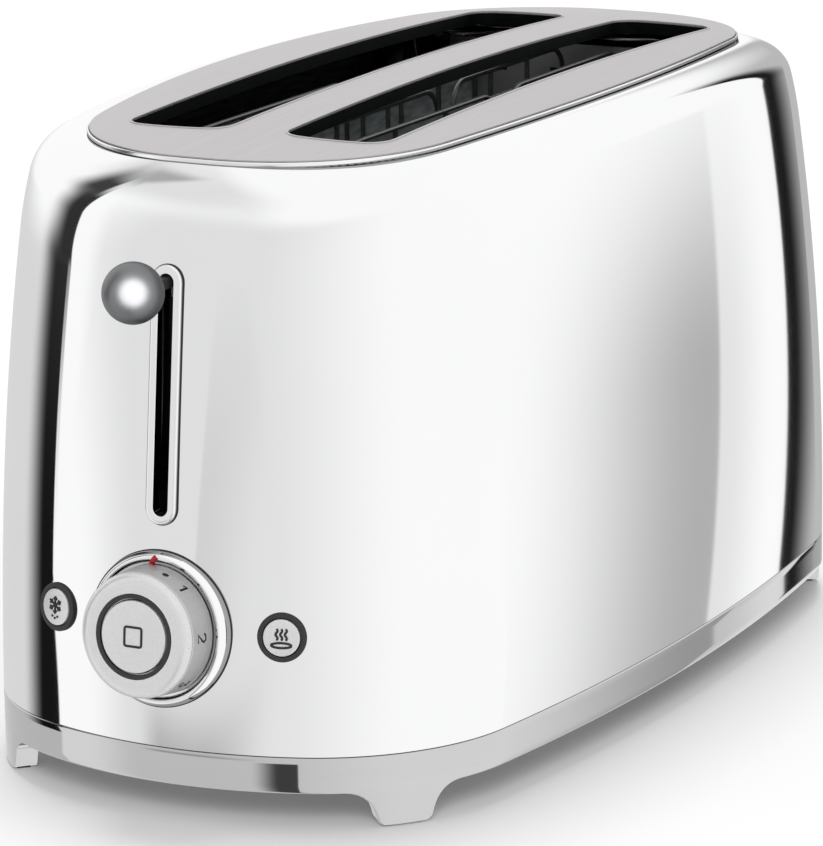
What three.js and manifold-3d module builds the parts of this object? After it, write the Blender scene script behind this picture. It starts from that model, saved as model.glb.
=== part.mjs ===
// A retro four-slice toaster with two long slots: a polished shell drawn in over a base band on four feet,
// a browning dial with a stop button, two round buttons and a lever ball on the front end, and the lift,
// the self-centring bread guides, the heaters and the crumb tray inside.
// Millimetres, +Z up, the front end towards -X. The origin is under the middle of the whole toaster.
import * as THREE from "three";
import { mergeVertices } from "three/addons/utils/BufferGeometryUtils.js";
import Module from "manifold-3d";

const wasm = await Module();
wasm.setup();

// Body outline at the base band, seen from above
const BODY_LENGTH = 384.6;
const BODY_WIDTH = 200;
const BODY_SIDE_RADIUS = 946;
const BODY_END_RADIUS = 130.3;
const BODY_CORNER_RADIUS = 70.6;

// Heights
const OVERALL_HEIGHT = 215;
const BAND_BOTTOM = 12.2;
const BAND_HEIGHT = 11.9;

// Shell: how far its walls draw in to the mouth, their lean at the foot, their bow and their shoulder
const END_DRAW = 29.7;
const END_LEAN = THREE.MathUtils.degToRad(4.6);
const END_BOW = 6000;
const END_SHOULDER = 50;
const SIDE_DRAW = 0.12 * BODY_WIDTH;
const SIDE_LEAN = THREE.MathUtils.degToRad(-1.5);
const SIDE_BOW = 1160;
const SIDE_SHOULDER = 12;
const MOUTH_SIDE_RADIUS = 660;
const MOUTH_END_RADIUS = 400;
const MOUTH_CORNER_RADIUS = 0.31 * BODY_WIDTH;
const SHELL_WALL = 1.2;

// Top: the crown of the plate, the plate, the trim ring round it and the two slots
const CROWN_END_DROP = 4.7;
const CROWN_SIDE_DROP = 1.3;
const PLATE_THICKNESS = 1.6;
const TRIM_MARGIN = 2.4;
const TRIM_HEIGHT = 2.4;
const TRIM_LIP = 1;
const TRIM_FLANGE = 8;
const SLOT_LENGTH = 258.8;
const SLOT_WIDTH = 0.191 * BODY_WIDTH;
const SLOT_SPACING = 0.293 * BODY_WIDTH;
const SLOTS_OUTER_WIDTH = SLOT_SPACING + SLOT_WIDTH;
const SLOTS_INNER_WIDTH = SLOT_SPACING - SLOT_WIDTH;
const SLOT_SHIFT = 4.4;
const SLOT_END_RADIUS = 80;
const SLOT_CORNER_RADIUS = 4.5;
const SLOT_SIDE_RADIUS = 20000;
const SLOT_LIP_WALL = 0.8;
const SLOT_LIP_DEPTH = 5;
const SLOT_LIP_RISE = 0.3;

// Base band, its feet and the window for the crumb tray
const BAND_WALL = 3;
const BAND_CHAMFER = 0.6;
const FOOT_TOP_WIDTH = 42.3;
const FOOT_BOTTOM_WIDTH = 18.4;
const FOOT_DEPTH = 8;
const FOOT_FILLET = 9;
const FOOT_SET_IN = 0.1;
const FOOT_ANGLE = THREE.MathUtils.degToRad(49.3);
const PAD_WIDTH = 12.6;
const PAD_DEPTH = 4.4;
const PAD_HEIGHT = 1.4;
const PAD_SHOW = 0.6;
const LUG_RADIUS = 5;
const LUG_HEIGHT = 9;
const LUG_OFFSET = 95;

// Clearances: a seat between pieces that touch, a fit round pieces that move or pass through
const SEAT = 0.3;
const FIT = 1;
const OVERRUN = 40;

// Base plate and its fastenings
const SHEET = 1.2;
const BASE_RISE = 1;
const VENT_LENGTH = 46;
const VENT_WIDTH = 4;
const VENT_PITCH = 9;
const VENT_ROWS = 5;
const SCREW_RADIUS = 1.6;
const SCREW_HEAD_RADIUS = 3.2;
const SCREW_HEAD_HEIGHT = 1;
const SCREW_LENGTH = 8;
const GLAND_X = 128;
const GLAND_Y = 0.38 * BODY_WIDTH;
const GLAND_BORE = 6.4;
const GLAND_NECK = 10.4;
const GLAND_FLANGE = 14;

// Crumb tray
const TRAY_WIDTH = 0.58 * BODY_WIDTH;
const TRAY_INNER_END = -118;
const TRAY_HEIGHT = 6;
const TRAY_LIFT = 0.6;
const TRAY_WALL = 1;
const GRIP_RADIUS = 13;
const GRIP_HEIGHT = 3;

// Chassis: two end plates, reflectors, heater boards and the bread guides between them
const CHASSIS_FRONT = -128.5;
const CHASSIS_REAR = 137;
const CHASSIS_SHEET = 1.5;
const CHASSIS_WIDTH = SLOTS_OUTER_WIDTH + 27.2;
const CHASSIS_TOP = OVERALL_HEIGHT - 14.5;
const CHASSIS_LEG = 4;
const BRACKET_REACH = 28;
const BRACKET_WIDTH = 54;
const REFLECTOR_SHEET = 0.8;
const REFLECTOR_SPACING = SLOTS_OUTER_WIDTH + 17.2;
const REFLECTOR_BOTTOM = 24;
const REFLECTOR_TOP = CHASSIS_TOP - 4.5;
const REFLECTOR_FLANGE = 3;
const BOARD_OUTER_SPACING = SLOTS_OUTER_WIDTH + 10;
const BOARD_INNER_SPACING = SLOTS_INNER_WIDTH - 8.4;
const BOARD_SHEET = 1.2;
const BOARD_BOTTOM = 36;
const BOARD_TOP = CHASSIS_TOP - 8.5;
const RIBBON_ROWS = 8;
const RIBBON_WIDTH = 3;
const RIBBON_THICKNESS = 0.5;
const GUIDE_WIRE = 1.8;
const GUIDE_OUTER_SPACING = SLOTS_OUTER_WIDTH - GUIDE_WIRE;
const GUIDE_INNER_SPACING = SLOTS_INNER_WIDTH + 2;
const GUIDE_BOTTOM = 34;
const GUIDE_TOP = CHASSIS_TOP + 1.5;
const GUIDE_RAIL_TOP = CHASSIS_TOP - 10.5;
const GUIDE_RAIL_BOTTOM = 46;
const GUIDE_CORNER = 9;
const GUIDE_MARGIN = 8;
const GUIDE_GAP = 12;
const GUIDE_SPLIT_SHARE = 0.62;
const GUIDE_WIRE_PITCH = 38;
const GUIDE_TRAVEL = 8;

// Heights of the lever's ball and of the bezel of its slot
const BALL_HEIGHT = OVERALL_HEIGHT - 41.5;
const BEZEL_BOTTOM = 96;
const BEZEL_TOP = BALL_HEIGHT + 5.5;
const BALL_CLEARANCE = 6.5;

// Lift: carriage on two rods, the racks it carries, the return spring and the holding magnet
const LIFT_TRAVEL = BALL_HEIGHT - BEZEL_BOTTOM - BALL_CLEARANCE;
const ROD_DIAMETER = 5;
const ROD_X = -141.5;
const ROD_SPACING = 40;
const CARRIAGE_SHEET = 1.8;
const CARRIAGE_X = -136.1;
const CARRIAGE_WIDTH = SLOT_SPACING + 9.4;
const CARRIAGE_BOTTOM = GUIDE_BOTTOM + LIFT_TRAVEL - 4;
const CARRIAGE_TOP = BALL_HEIGHT + 4.5;
const BUSHING_WALL = 2.2;
const BUSHING_BOTTOM = CARRIAGE_BOTTOM + 11;
const BUSHING_TOP = BUSHING_BOTTOM + 48;
const RACK_TOP = CARRIAGE_BOTTOM + 4;
const RACK_WIDTH = 14;
const RACK_SHEET = 2.2;
const RACK_TOOTH_HEIGHT = 5;
const RACK_TOOTH_THICKNESS = 1.6;
const RACK_TEETH = 9;
const RACK_NOTCH_DEPTH = 3;
const RACK_ARM_WIDTH = 3;
const RACK_ARM_HEIGHT = 8;
const RACK_MARGIN = 8;
const SPRING_X = -150;
const SPRING_Y = 9;
const SPRING_RADIUS = 3.4;
const SPRING_WIRE = 1;
const SPRING_TURNS = 9;
const SPRING_TURN_STEPS = 8;
const SPRING_BOTTOM = CARRIAGE_BOTTOM + 48;
const LUG_SHEET = 2;
const ARMATURE_LENGTH = 14;
const ARMATURE_WIDTH = 20;
const ARMATURE_THICKNESS = 2;
const MAGNET_LENGTH = 16;
const MAGNET_WIDTH = 22;
const MAGNET_YOKE = 3;
const MAGNET_GAP = 0.5;

// Lever: its arm, collar and ball, and the bezel of its slot
const BALL_DIAMETER = 18.3;
const BALL_REACH = 8.7;
const BALL_FLAT = 7.6;
const COLLAR_RADIUS = 4;
const COLLAR_NECK = 2.9;
const COLLAR_LENGTH = 3.4;
const ARM_WIDTH = 3.2;
const ARM_HEIGHT = 3.4;
const GUSSET_HEIGHT = 13;
const GUSSET_LENGTH = 26;
const BEZEL_WIDTH = 12;
const BEZEL_PROUD = 1.3;
const BEZEL_CHAMFER = 0.5;
const LEVER_SLOT_WIDTH = 5.6;
const LEVER_SLOT_RIM = 2.6;
const BEZEL_NECK_WALL = 1.4;
const BEZEL_NECK_DEPTH = 3.4;

// Browning dial with the stop button in its middle
const DIAL_HEIGHT = 62.6;
const DIAL_RING_RADIUS = 25.3;
const DIAL_RING_BEAD = 3.2;
const DIAL_RING_INNER = 22;
const DIAL_DISH_FLOOR = 1.7;
const DIAL_DISH_BACK = 6;
const DIAL_HUB_HOLE = 7.4;
const KNOB_SKIRT_RADIUS = 21;
const KNOB_SKIRT_START = 2.2;
const KNOB_SIDE_RADIUS = 20.2;
const KNOB_PROUD = 16;
const KNOB_BEVEL = 3;
const KNOB_BEVEL_DEPTH = 2.2;
const KNOB_INLAY_OUTER = 14;
const KNOB_INLAY_INNER = 12.3;
const KNOB_INLAY_DEPTH = 1;
const KNOB_WELL_DEPTH = 6;
const KNOB_WALL = 1.8;
const KNOB_HUB_RADIUS = 6;
const KNOB_HUB_BORE = 3.3;
const KNOB_HUB_DEPTH = 12;
const STOP_CAP_RADIUS = 11.7;
const STOP_CAP_HEIGHT = 3.6;
const STOP_STEM_RADIUS = 2.8;
const STOP_STEM_DEPTH = 13.4;
const STOP_EDGE = 0.6;
const BUTTON_TRAVEL = 2;

// Side buttons
const BUTTON_HEIGHT = 63.2;
const BUTTON_SPACING = 82.8;
const BUTTON_BEZEL_RADIUS = 8;
const BUTTON_BEZEL_PROUD = 1;
const BUTTON_BEZEL_BORE = 6.3;
const BUTTON_BEZEL_NECK = 7.2;
const BUTTON_BEZEL_DEPTH = 4;
const BUTTON_RADIUS = 6;
const BUTTON_PROUD = 1.4;
const BUTTON_EDGE = 0.5;
const BUTTON_DEPTH = 8;

// Electrics behind the front wall
const PCB_DEPTH = 22;
const PCB_SHEET = 1.6;
const PCB_WIDTH = 104;
const PCB_ABOVE_DIAL = 30;
const DIAL_SWITCH_RADIUS = 14;
const DIAL_SWITCH_BORE = 4.8;
const STOP_SWITCH_RADIUS = 4.2;
const SWITCH_WIDTH = 8;

// How finely round forms are cut
const ROUND = 24;
const SMALL_ROUND = 14;
const WIRE_SIDES = 5;
const UPRIGHT_SIDES = 4;
const BODY_STEPS = { end: 4, corner: 6, side: 4 };
const SLOT_STEPS = { end: 2, corner: 2, side: 1 };
const ARC_STEPS = 4;
const BEND_STEPS = 3;
const BALL_STEPS = 9;

// Derived heights and places
const BAND_TOP = BAND_BOTTOM + BAND_HEIGHT;
const SHELL_FOOT = BAND_TOP + SEAT;
const TRIM_BOTTOM_DROP = PLATE_THICKNESS + TRIM_HEIGHT;
const SHELL_TOP_DROP = TRIM_BOTTOM_DROP + SEAT;
const BASE_BOTTOM = BAND_BOTTOM + BASE_RISE;
const BASE_TOP = BASE_BOTTOM + SHEET;
const FLOOR = BASE_TOP + SEAT;
const TRAY_FLOOR = BASE_TOP + TRAY_LIFT;
const BODY_SHIFT = (BALL_REACH + BALL_DIAMETER / 2) / 2;
const SLOT_Y = SLOT_SPACING / 2;
const CHASSIS_INNER_FRONT = CHASSIS_FRONT + CHASSIS_SHEET / 2 + SEAT;
const CHASSIS_INNER_REAR = CHASSIS_REAR - CHASSIS_SHEET / 2 - SEAT;
const STRUT_TOP = CHASSIS_TOP - CHASSIS_SHEET - SEAT;
const RACK_ARM_BOTTOM = RACK_TOP - RACK_TOOTH_HEIGHT - RACK_SHEET / 2 - RACK_ARM_HEIGHT / 2;
const SIDES = [-1, 1];

const BODY = {
  x: BODY_LENGTH / 2,
  y: BODY_WIDTH / 2,
  side: BODY_SIDE_RADIUS,
  end: BODY_END_RADIUS,
  corner: BODY_CORNER_RADIUS,
};
const MOUTH = {
  x: BODY.x - END_DRAW,
  y: BODY.y - SIDE_DRAW,
  side: MOUTH_SIDE_RADIUS,
  end: MOUTH_END_RADIUS,
  corner: MOUTH_CORNER_RADIUS,
};
const SLOT = {
  x: SLOT_LENGTH / 2,
  y: SLOT_WIDTH / 2,
  side: SLOT_SIDE_RADIUS,
  end: SLOT_END_RADIUS,
  corner: SLOT_CORNER_RADIUS,
};

// Looks
const CHROME = { color: 0xe8e9eb, roughness: 0.06, metalness: 1 };
const BRUSHED = { color: 0xc8c5c6, roughness: 0.34, metalness: 1 };
const BAND_METAL = { color: 0xcdcdcf, roughness: 0.24, metalness: 1 };
const SATIN = { color: 0xd9dade, roughness: 0.3, metalness: 0.9 };
const BLACK = { color: 0x1c1d1f, roughness: 0.45, metalness: 0 };
const RUBBER = { color: 0x2a2a2c, roughness: 0.9, metalness: 0 };
const SHEET_STEEL = { color: 0x9a9da0, roughness: 0.45, metalness: 0.9 };
const WIRE_STEEL = { color: 0xc4c6c8, roughness: 0.25, metalness: 1 };
const MICA = { color: 0x8b8578, roughness: 0.7, metalness: 0 };
const COPPER = { color: 0x7a4a30, roughness: 0.5, metalness: 0.6 };
const BOARD_GREEN = { color: 0x2f5a3c, roughness: 0.6, metalness: 0 };

const part = new THREE.Group();
part.position.x = BODY_SHIFT;

// Solids

// A closed geometry as a solid that can be joined and cut.
function solid(geometry) {
  const bare = geometry.clone();
  bare.deleteAttribute("normal");
  bare.deleteAttribute("uv");
  const merged = mergeVertices(bare);
  const triVerts = new Uint32Array(merged.index.array);
  const vertProperties = merged.attributes.position.array;
  return new wasm.Manifold(new wasm.Mesh({ numProp: 3, vertProperties, triVerts }));
}

function surface(made) {
  const { vertProperties, triVerts } = made.getMesh();
  const geometry = new THREE.BufferGeometry();
  geometry.setAttribute("position", new THREE.BufferAttribute(vertProperties, 3));
  geometry.setIndex(new THREE.BufferAttribute(triVerts, 1));
  geometry.computeVertexNormals();
  return geometry;
}

function join(...solids) {
  return solids.reduce((all, one) => all.add(one));
}

function cut(body, ...cutters) {
  return cutters.reduce((left, one) => left.subtract(one), body);
}

// One named piece of the toaster, from a solid in the body's own frame.
function piece(name, made, look, group = part) {
  const mesh = new THREE.Mesh(surface(made), new THREE.MeshStandardMaterial(look));
  mesh.name = name;
  group.add(mesh);
  return mesh;
}

// A box between two corners.
function block([x0, y0, z0], [x1, y1, z1]) {
  const box = new THREE.BoxGeometry(x1 - x0, y1 - y0, z1 - z0);
  return solid(box.translate((x0 + x1) / 2, (y0 + y1) / 2, (z0 + z1) / 2));
}

// A round bar along z between two heights.
function post(x, y, radius, bottom, top, sides = ROUND) {
  const bar = new THREE.CylinderGeometry(radius, radius, top - bottom, sides);
  return solid(bar.rotateX(Math.PI / 2).translate(x, y, (bottom + top) / 2));
}

// A body turned about z: a closed profile of radius and height pairs, listed anticlockwise.
function turned(profile, sides = ROUND) {
  const points = profile.map(([radius, height]) => new THREE.Vector2(radius, height));
  return solid(new THREE.LatheGeometry(points, sides).rotateX(Math.PI / 2));
}

// A ring turned about z, whose profile closes on itself off the axis.
function turnedRing(profile, sides = ROUND) {
  return turned([...profile, profile[0]], sides);
}

// A surface through rings of points, each ring anticlockwise seen from above and the rings rising on the outside.
// A ring of one point closes an end, and `looped` joins the last ring to the first.
function skin(rings, looped = false) {
  const starts = [];
  const points = [];
  for (const ring of rings) {
    starts.push(points.length);
    points.push(...ring);
  }
  const index = [];
  const last = looped ? rings.length : rings.length - 1;
  for (let r = 0; r < last; r++) {
    const next = (r + 1) % rings.length;
    const lower = (i) => starts[r] + (i % rings[r].length);
    const upper = (i) => starts[next] + (i % rings[next].length);
    for (let i = 0; i < Math.max(rings[r].length, rings[next].length); i++) {
      if (lower(i) !== lower(i + 1)) index.push(lower(i), lower(i + 1), upper(i + 1));
      if (upper(i) !== upper(i + 1)) index.push(lower(i), upper(i + 1), upper(i));
    }
  }
  const geometry = new THREE.BufferGeometry().setFromPoints(points);
  geometry.setIndex(index);
  return solid(geometry);
}

// Plan outlines: an end arc, a corner arc and a side arc, tangent to each other, mirrored to all four quarters.
// `inset` moves the whole outline inwards along its normal.
function tangentArcs(form, inset = 0) {
  const end = form.end - inset;
  const side = form.side - inset;
  const corner = form.corner - inset;
  const endCentre = new THREE.Vector2(form.x - inset - end, 0);
  const sideCentre = new THREE.Vector2(0, form.y - inset - side);
  const line = sideCentre.clone().sub(endCentre);
  const span = line.length();
  line.divideScalar(span);
  const along = ((end - corner) ** 2 - (side - corner) ** 2 + span ** 2) / (2 * span);
  const off = Math.sqrt(Math.max((end - corner) ** 2 - along ** 2, 0));
  const outward = new THREE.Vector2(-line.y, line.x);
  const cornerCentre = [-off, off]
    .map((share) => endCentre.clone().addScaledVector(line, along).addScaledVector(outward, share))
    .reduce((a, b) => (a.x + a.y > b.x + b.y ? a : b));
  const endAngle = cornerCentre.clone().sub(endCentre).angle();
  const sideAngle = cornerCentre.clone().sub(sideCentre).angle();
  return [
    { centre: endCentre, radius: end, from: 0, to: endAngle },
    { centre: cornerCentre, radius: corner, from: endAngle, to: sideAngle },
    { centre: sideCentre, radius: side, from: sideAngle, to: Math.PI / 2 },
  ];
}

function outline(form, inset = 0, steps = BODY_STEPS) {
  const counts = [steps.end, steps.corner, steps.side];
  const quarter = [];
  tangentArcs(form, inset).forEach(({ centre, radius, from, to }, arc) => {
    for (let i = 0; i < counts[arc]; i++) {
      const angle = from + ((to - from) * i) / counts[arc];
      const normal = new THREE.Vector2(Math.cos(angle), Math.sin(angle));
      quarter.push({ point: centre.clone().addScaledVector(normal, radius), normal });
    }
  });
  const top = { point: new THREE.Vector2(0, form.y - inset), normal: new THREE.Vector2(0, 1) };
  const mirrored = ({ point, normal }, sx, sy) => ({
    point: new THREE.Vector2(point.x * sx, point.y * sy),
    normal: new THREE.Vector2(normal.x * sx, normal.y * sy),
  });
  const upperRight = [...quarter, top];
  const upperLeft = upperRight.slice(1, -1).reverse().map((at) => mirrored(at, -1, 1));
  const left = mirrored(quarter[0], -1, 1);
  const lowerLeft = upperRight.slice(1).map((at) => mirrored(at, -1, -1));
  const lowerRight = quarter.slice(1).reverse().map((at) => mirrored(at, 1, -1));
  return [...upperRight, ...upperLeft, left, ...lowerLeft, ...lowerRight];
}

// The outline as a ring of points, at one height or at a height for each point.
function ring(form, inset, height, steps = BODY_STEPS) {
  const heightAt = typeof height === "function" ? height : () => height;
  return outline(form, inset, steps).map(({ point }) =>
    new THREE.Vector3(point.x, point.y, heightAt(point.x, point.y)));
}

// An upright prism of an outline.
function prism(form, inset, bottom, top, steps = BODY_STEPS) {
  const low = new THREE.Vector3(0, 0, bottom);
  const high = new THREE.Vector3(0, 0, top);
  return skin([[low], ring(form, inset, bottom, steps), ring(form, inset, top, steps), [high]]);
}

// Height of the crowned top over a point of the plan.
function crown(x, y) {
  const plateX = MOUTH.x - TRIM_MARGIN;
  const plateY = MOUTH.y - TRIM_MARGIN;
  return OVERALL_HEIGHT - CROWN_END_DROP * (x / plateX) ** 2 - CROWN_SIDE_DROP * (y / plateY) ** 2;
}

// Shell walls: a gently bowed arc from the foot, then a shoulder arc that ends `draw` in and `rise` up.
function wallProfile(lean, bow, shoulder, draw, rise) {
  const bowCentre = new THREE.Vector2(bow * Math.cos(lean), -bow * Math.sin(lean));
  const line = new THREE.Vector2(draw, rise).sub(bowCentre);
  const span = line.length();
  line.divideScalar(span);
  const reach = bow - shoulder;
  const along = (reach ** 2 - shoulder ** 2 + span ** 2) / (2 * span);
  const off = Math.sqrt(Math.max(reach ** 2 - along ** 2, 0));
  const across = new THREE.Vector2(-line.y, line.x);
  const shoulderCentre = [-off, off]
    .map((share) => bowCentre.clone().addScaledVector(line, along).addScaledVector(across, share))
    .reduce((a, b) => (a.y < b.y ? a : b));
  const turn = Math.asin((shoulderCentre.y - bowCentre.y) / reach);
  const end = Math.atan2(rise - shoulderCentre.y, shoulderCentre.x - draw);
  const bowLength = bow * (turn - lean);
  const length = bowLength + shoulder * (end - turn);
  return {
    // The wall at a share of its length up from the foot, moved inwards through a wall thickness.
    at(share, wall = 0) {
      const run = share * length;
      const low = run < bowLength;
      const centre = low ? bowCentre : shoulderCentre;
      const radius = low ? bow : shoulder;
      const angle = low ? lean + run / bow : turn + (run - bowLength) / shoulder;
      const inset = centre.x - (radius - wall) * Math.cos(angle);
      return { inset, height: centre.y + (radius - wall) * Math.sin(angle), angle };
    },
    // The share at which the wall below its shoulder reaches a height.
    shareAt(height) {
      return (bow * (Math.asin((height - bowCentre.y) / bow) - lean)) / length;
    },
  };
}

const END_RISE = crown(MOUTH.x, 0) - SHELL_TOP_DROP - SHELL_FOOT;
const SIDE_RISE = crown(0, MOUTH.y) - SHELL_TOP_DROP - SHELL_FOOT;
const endProfile = wallProfile(END_LEAN, END_BOW, END_SHOULDER, END_DRAW, END_RISE);
const sideProfile = wallProfile(SIDE_LEAN, SIDE_BOW, SIDE_SHOULDER, SIDE_DRAW, SIDE_RISE);

// The outline of the shell at a share of its walls, from the base outline to the mouth outline.
function shellForm(share) {
  const end = endProfile.at(share);
  const side = sideProfile.at(share);
  const blend = (end.inset / END_DRAW + side.inset / SIDE_DRAW) / 2;
  const mix = THREE.MathUtils.lerp;
  return {
    x: BODY.x - end.inset,
    y: BODY.y - side.inset,
    side: mix(BODY.side, MOUTH.side, blend),
    end: mix(BODY.end, MOUTH.end, blend),
    corner: mix(BODY.corner, MOUTH.corner, blend),
  };
}

// One ring of the shell at a share of its walls, `wall` inside its outer face.
function shellRing(share, wall) {
  const end = endProfile.at(share, wall);
  const side = sideProfile.at(share, wall);
  const endWall = end.inset - endProfile.at(share).inset;
  const sideWall = side.inset - sideProfile.at(share).inset;
  return outline(shellForm(share)).map(({ point, normal }) => {
    const rise = crown(point.x, point.y) - SHELL_TOP_DROP - SHELL_FOOT;
    const level = (end.height / END_RISE) * normal.x ** 2 + (side.height / SIDE_RISE) * normal.y ** 2;
    const inset = endWall * normal.x ** 2 + sideWall * normal.y ** 2;
    const [x, y] = [point.x - normal.x * inset, point.y - normal.y * inset];
    return new THREE.Vector3(x, y, share === 0 ? SHELL_FOOT : SHELL_FOOT + rise * level);
  });
}

const OUTER_LEVEL_SHARES = [0, 0.25, 0.5, 0.7, 0.8, 0.86, 0.9, 0.925, 0.95, 0.975, 1];
const INNER_LEVEL_SHARES = [1, 0.96, 0.92, 0.84, 0.5, 0];

// A place on the front wall: a group whose own z points straight out of the wall and whose y points up along it.
function station(y, height) {
  const share = endProfile.shareAt(height - SHELL_FOOT);
  const form = shellForm(share);
  const across = Math.asin(y / form.end);
  const lean = endProfile.at(share).angle;
  const out = new THREE.Vector3(-Math.cos(across), Math.sin(across), 0).multiplyScalar(Math.cos(lean));
  out.z = Math.sin(lean);
  const up = new THREE.Vector3(Math.cos(across), -Math.sin(across), 0).multiplyScalar(Math.sin(lean));
  up.z = Math.cos(lean);
  const right = up.clone().cross(out);
  const group = new THREE.Group();
  group.quaternion.setFromRotationMatrix(new THREE.Matrix4().makeBasis(right, up, out));
  group.position.set(-(form.x - form.end + form.end * Math.cos(across)), y, height);
  group.userData = { up, out };
  part.add(group);
  group.updateMatrix();
  return group;
}

// A solid made in a station's own frame, moved into the body's frame, and the other way round.
function fromStation(made, group) {
  return made.transform(group.matrix.elements);
}

function toStation(made, group) {
  return made.transform(group.matrix.clone().invert().elements);
}

// An upright capsule in a station's frame, between two depths along z.
function capsule(width, length, from, to) {
  const radius = width / 2;
  const half = length / 2 - radius;
  const shape = new THREE.Shape();
  shape.absarc(0, half, radius, 0, Math.PI, false);
  shape.absarc(0, -half, radius, Math.PI, 2 * Math.PI, false);
  const options = { depth: to - from, bevelEnabled: false, curveSegments: ARC_STEPS };
  return solid(new THREE.ExtrudeGeometry(shape, options).translate(0, 0, from));
}

// A route through listed points, one tube step for each, so that straight runs cost no steps.
class Route extends THREE.Curve {
  constructor(points) {
    super();
    this.points = points;
  }

  getPointAt(share) {
    return this.points[Math.round(share * (this.points.length - 1))].clone();
  }

  getTangentAt(share) {
    const at = Math.round(share * (this.points.length - 1));
    const before = this.points[Math.max(at - 1, 0)];
    const after = this.points[Math.min(at + 1, this.points.length - 1)];
    return after.clone().sub(before).normalize();
  }
}

// A round wire along a route of points.
function wire(points, diameter, sides = WIRE_SIDES) {
  const section = [];
  for (let i = 0; i < sides; i++) {
    const angle = (2 * Math.PI * i) / sides;
    section.push(new THREE.Vector2(Math.cos(angle), Math.sin(angle)).multiplyScalar(diameter / 2));
  }
  const options = { steps: points.length - 1, extrudePath: new Route(points), bevelEnabled: false };
  return solid(new THREE.ExtrudeGeometry(new THREE.Shape(section), options));
}

// Base band with its feet

// The middle of a foot on the corner arc of the band, as a point and its outward normal.
function footPlace(sx, sy) {
  const [, { centre, radius }] = tangentArcs(BODY);
  const hand = new THREE.Vector2(sx, sy);
  const normal = new THREE.Vector2(Math.cos(FOOT_ANGLE), Math.sin(FOOT_ANGLE));
  const point = centre.clone().addScaledVector(normal, radius);
  return { point: point.multiply(hand), normal: normal.multiply(hand) };
}

// Turns a solid made with its y outwards to a foot's place.
function atFoot(geometry, { point, normal }) {
  const turn = Math.atan2(normal.y, normal.x) - Math.PI / 2;
  return solid(geometry.rotateZ(turn).translate(point.x, point.y, 0));
}

// The front of a foot: a rounded sole, and wide fillets up into the band.
function footShape() {
  const half = FOOT_BOTTOM_WIDTH / 2;
  const top = FOOT_TOP_WIDTH / 2;
  const toe = (BAND_BOTTOM - PAD_SHOW) / 4;
  const shape = new THREE.Shape();
  shape.moveTo(-half + toe, PAD_SHOW);
  shape.lineTo(half - toe, PAD_SHOW);
  shape.quadraticCurveTo(half, PAD_SHOW, half + BAND_CHAMFER, PAD_SHOW + toe);
  shape.quadraticCurveTo(top - FOOT_FILLET, BAND_BOTTOM, top, BAND_BOTTOM);
  shape.lineTo(top, BAND_BOTTOM + BAND_CHAMFER);
  shape.lineTo(-top, BAND_BOTTOM + BAND_CHAMFER);
  shape.lineTo(-top, BAND_BOTTOM);
  shape.quadraticCurveTo(-top + FOOT_FILLET, BAND_BOTTOM, -half - BAND_CHAMFER, PAD_SHOW + toe);
  shape.quadraticCurveTo(-half, PAD_SHOW, -half + toe, PAD_SHOW);
  return shape;
}

function foot(place) {
  const options = { depth: 2 * OVERRUN, bevelEnabled: false, curveSegments: ARC_STEPS };
  const slab = new THREE.ExtrudeGeometry(footShape(), options).rotateX(Math.PI / 2).translate(0, OVERRUN, 0);
  const column = prism(BODY, FOOT_SET_IN, 0, BAND_TOP);
  const core = prism(BODY, FOOT_DEPTH, -OVERRUN, BAND_TOP + OVERRUN);
  const pocket = padBlock(place, SEAT, PAD_HEIGHT + SEAT);
  return cut(atFoot(slab, place).intersect(column), core, pocket);
}

// The rubber pad under a foot, or the pocket that holds it.
function padBlock(place, clearance, top) {
  const size = [PAD_WIDTH + 2 * clearance, PAD_DEPTH + 2 * clearance, top];
  const inward = (FOOT_DEPTH + BAND_CHAMFER) / 2;
  return atFoot(new THREE.BoxGeometry(...size).translate(0, -inward, top / 2), place);
}

const FOOT_PLACES = SIDES.flatMap((sx) => SIDES.map((sy) => footPlace(sx, sy)));
const LUG_PLACES = SIDES.flatMap((sx) => SIDES.map((sy) => {
  const edge = BODY.y - BODY.side + Math.sqrt(BODY.side ** 2 - LUG_OFFSET ** 2);
  return new THREE.Vector2(sx * LUG_OFFSET, sy * (edge - BAND_WALL - LUG_RADIUS + FIT));
}));

function trayWindow(clearance) {
  const half = TRAY_WIDTH / 2 + FIT - clearance;
  const low = TRAY_FLOOR - SEAT + clearance;
  const high = TRAY_FLOOR + TRAY_HEIGHT + SEAT - clearance;
  return block([0, -half, low], [BODY.x + OVERRUN, half, high]);
}

function baseBand() {
  const band = skin([
    ring(BODY, BAND_CHAMFER, BAND_BOTTOM),
    ring(BODY, 0, BAND_BOTTOM + BAND_CHAMFER),
    ring(BODY, 0, BAND_TOP - BAND_CHAMFER),
    ring(BODY, BAND_CHAMFER, BAND_TOP),
    ring(BODY, BAND_WALL, BAND_TOP),
    ring(BODY, BAND_WALL, BAND_BOTTOM),
  ], true);
  const lugs = LUG_PLACES.map(({ x, y }) => post(x, y, LUG_RADIUS, FLOOR, FLOOR + LUG_HEIGHT, SMALL_ROUND));
  const bores = LUG_PLACES.map(({ x, y }) => post(x, y, SCREW_RADIUS + SEAT, 0, BASE_BOTTOM + SCREW_LENGTH, WIRE_SIDES));
  return cut(join(band, ...FOOT_PLACES.map(foot), ...lugs), trayWindow(0), ...bores);
}

// Base plate with vents, rails for the tray and holes for the screws and the cord gland

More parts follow.
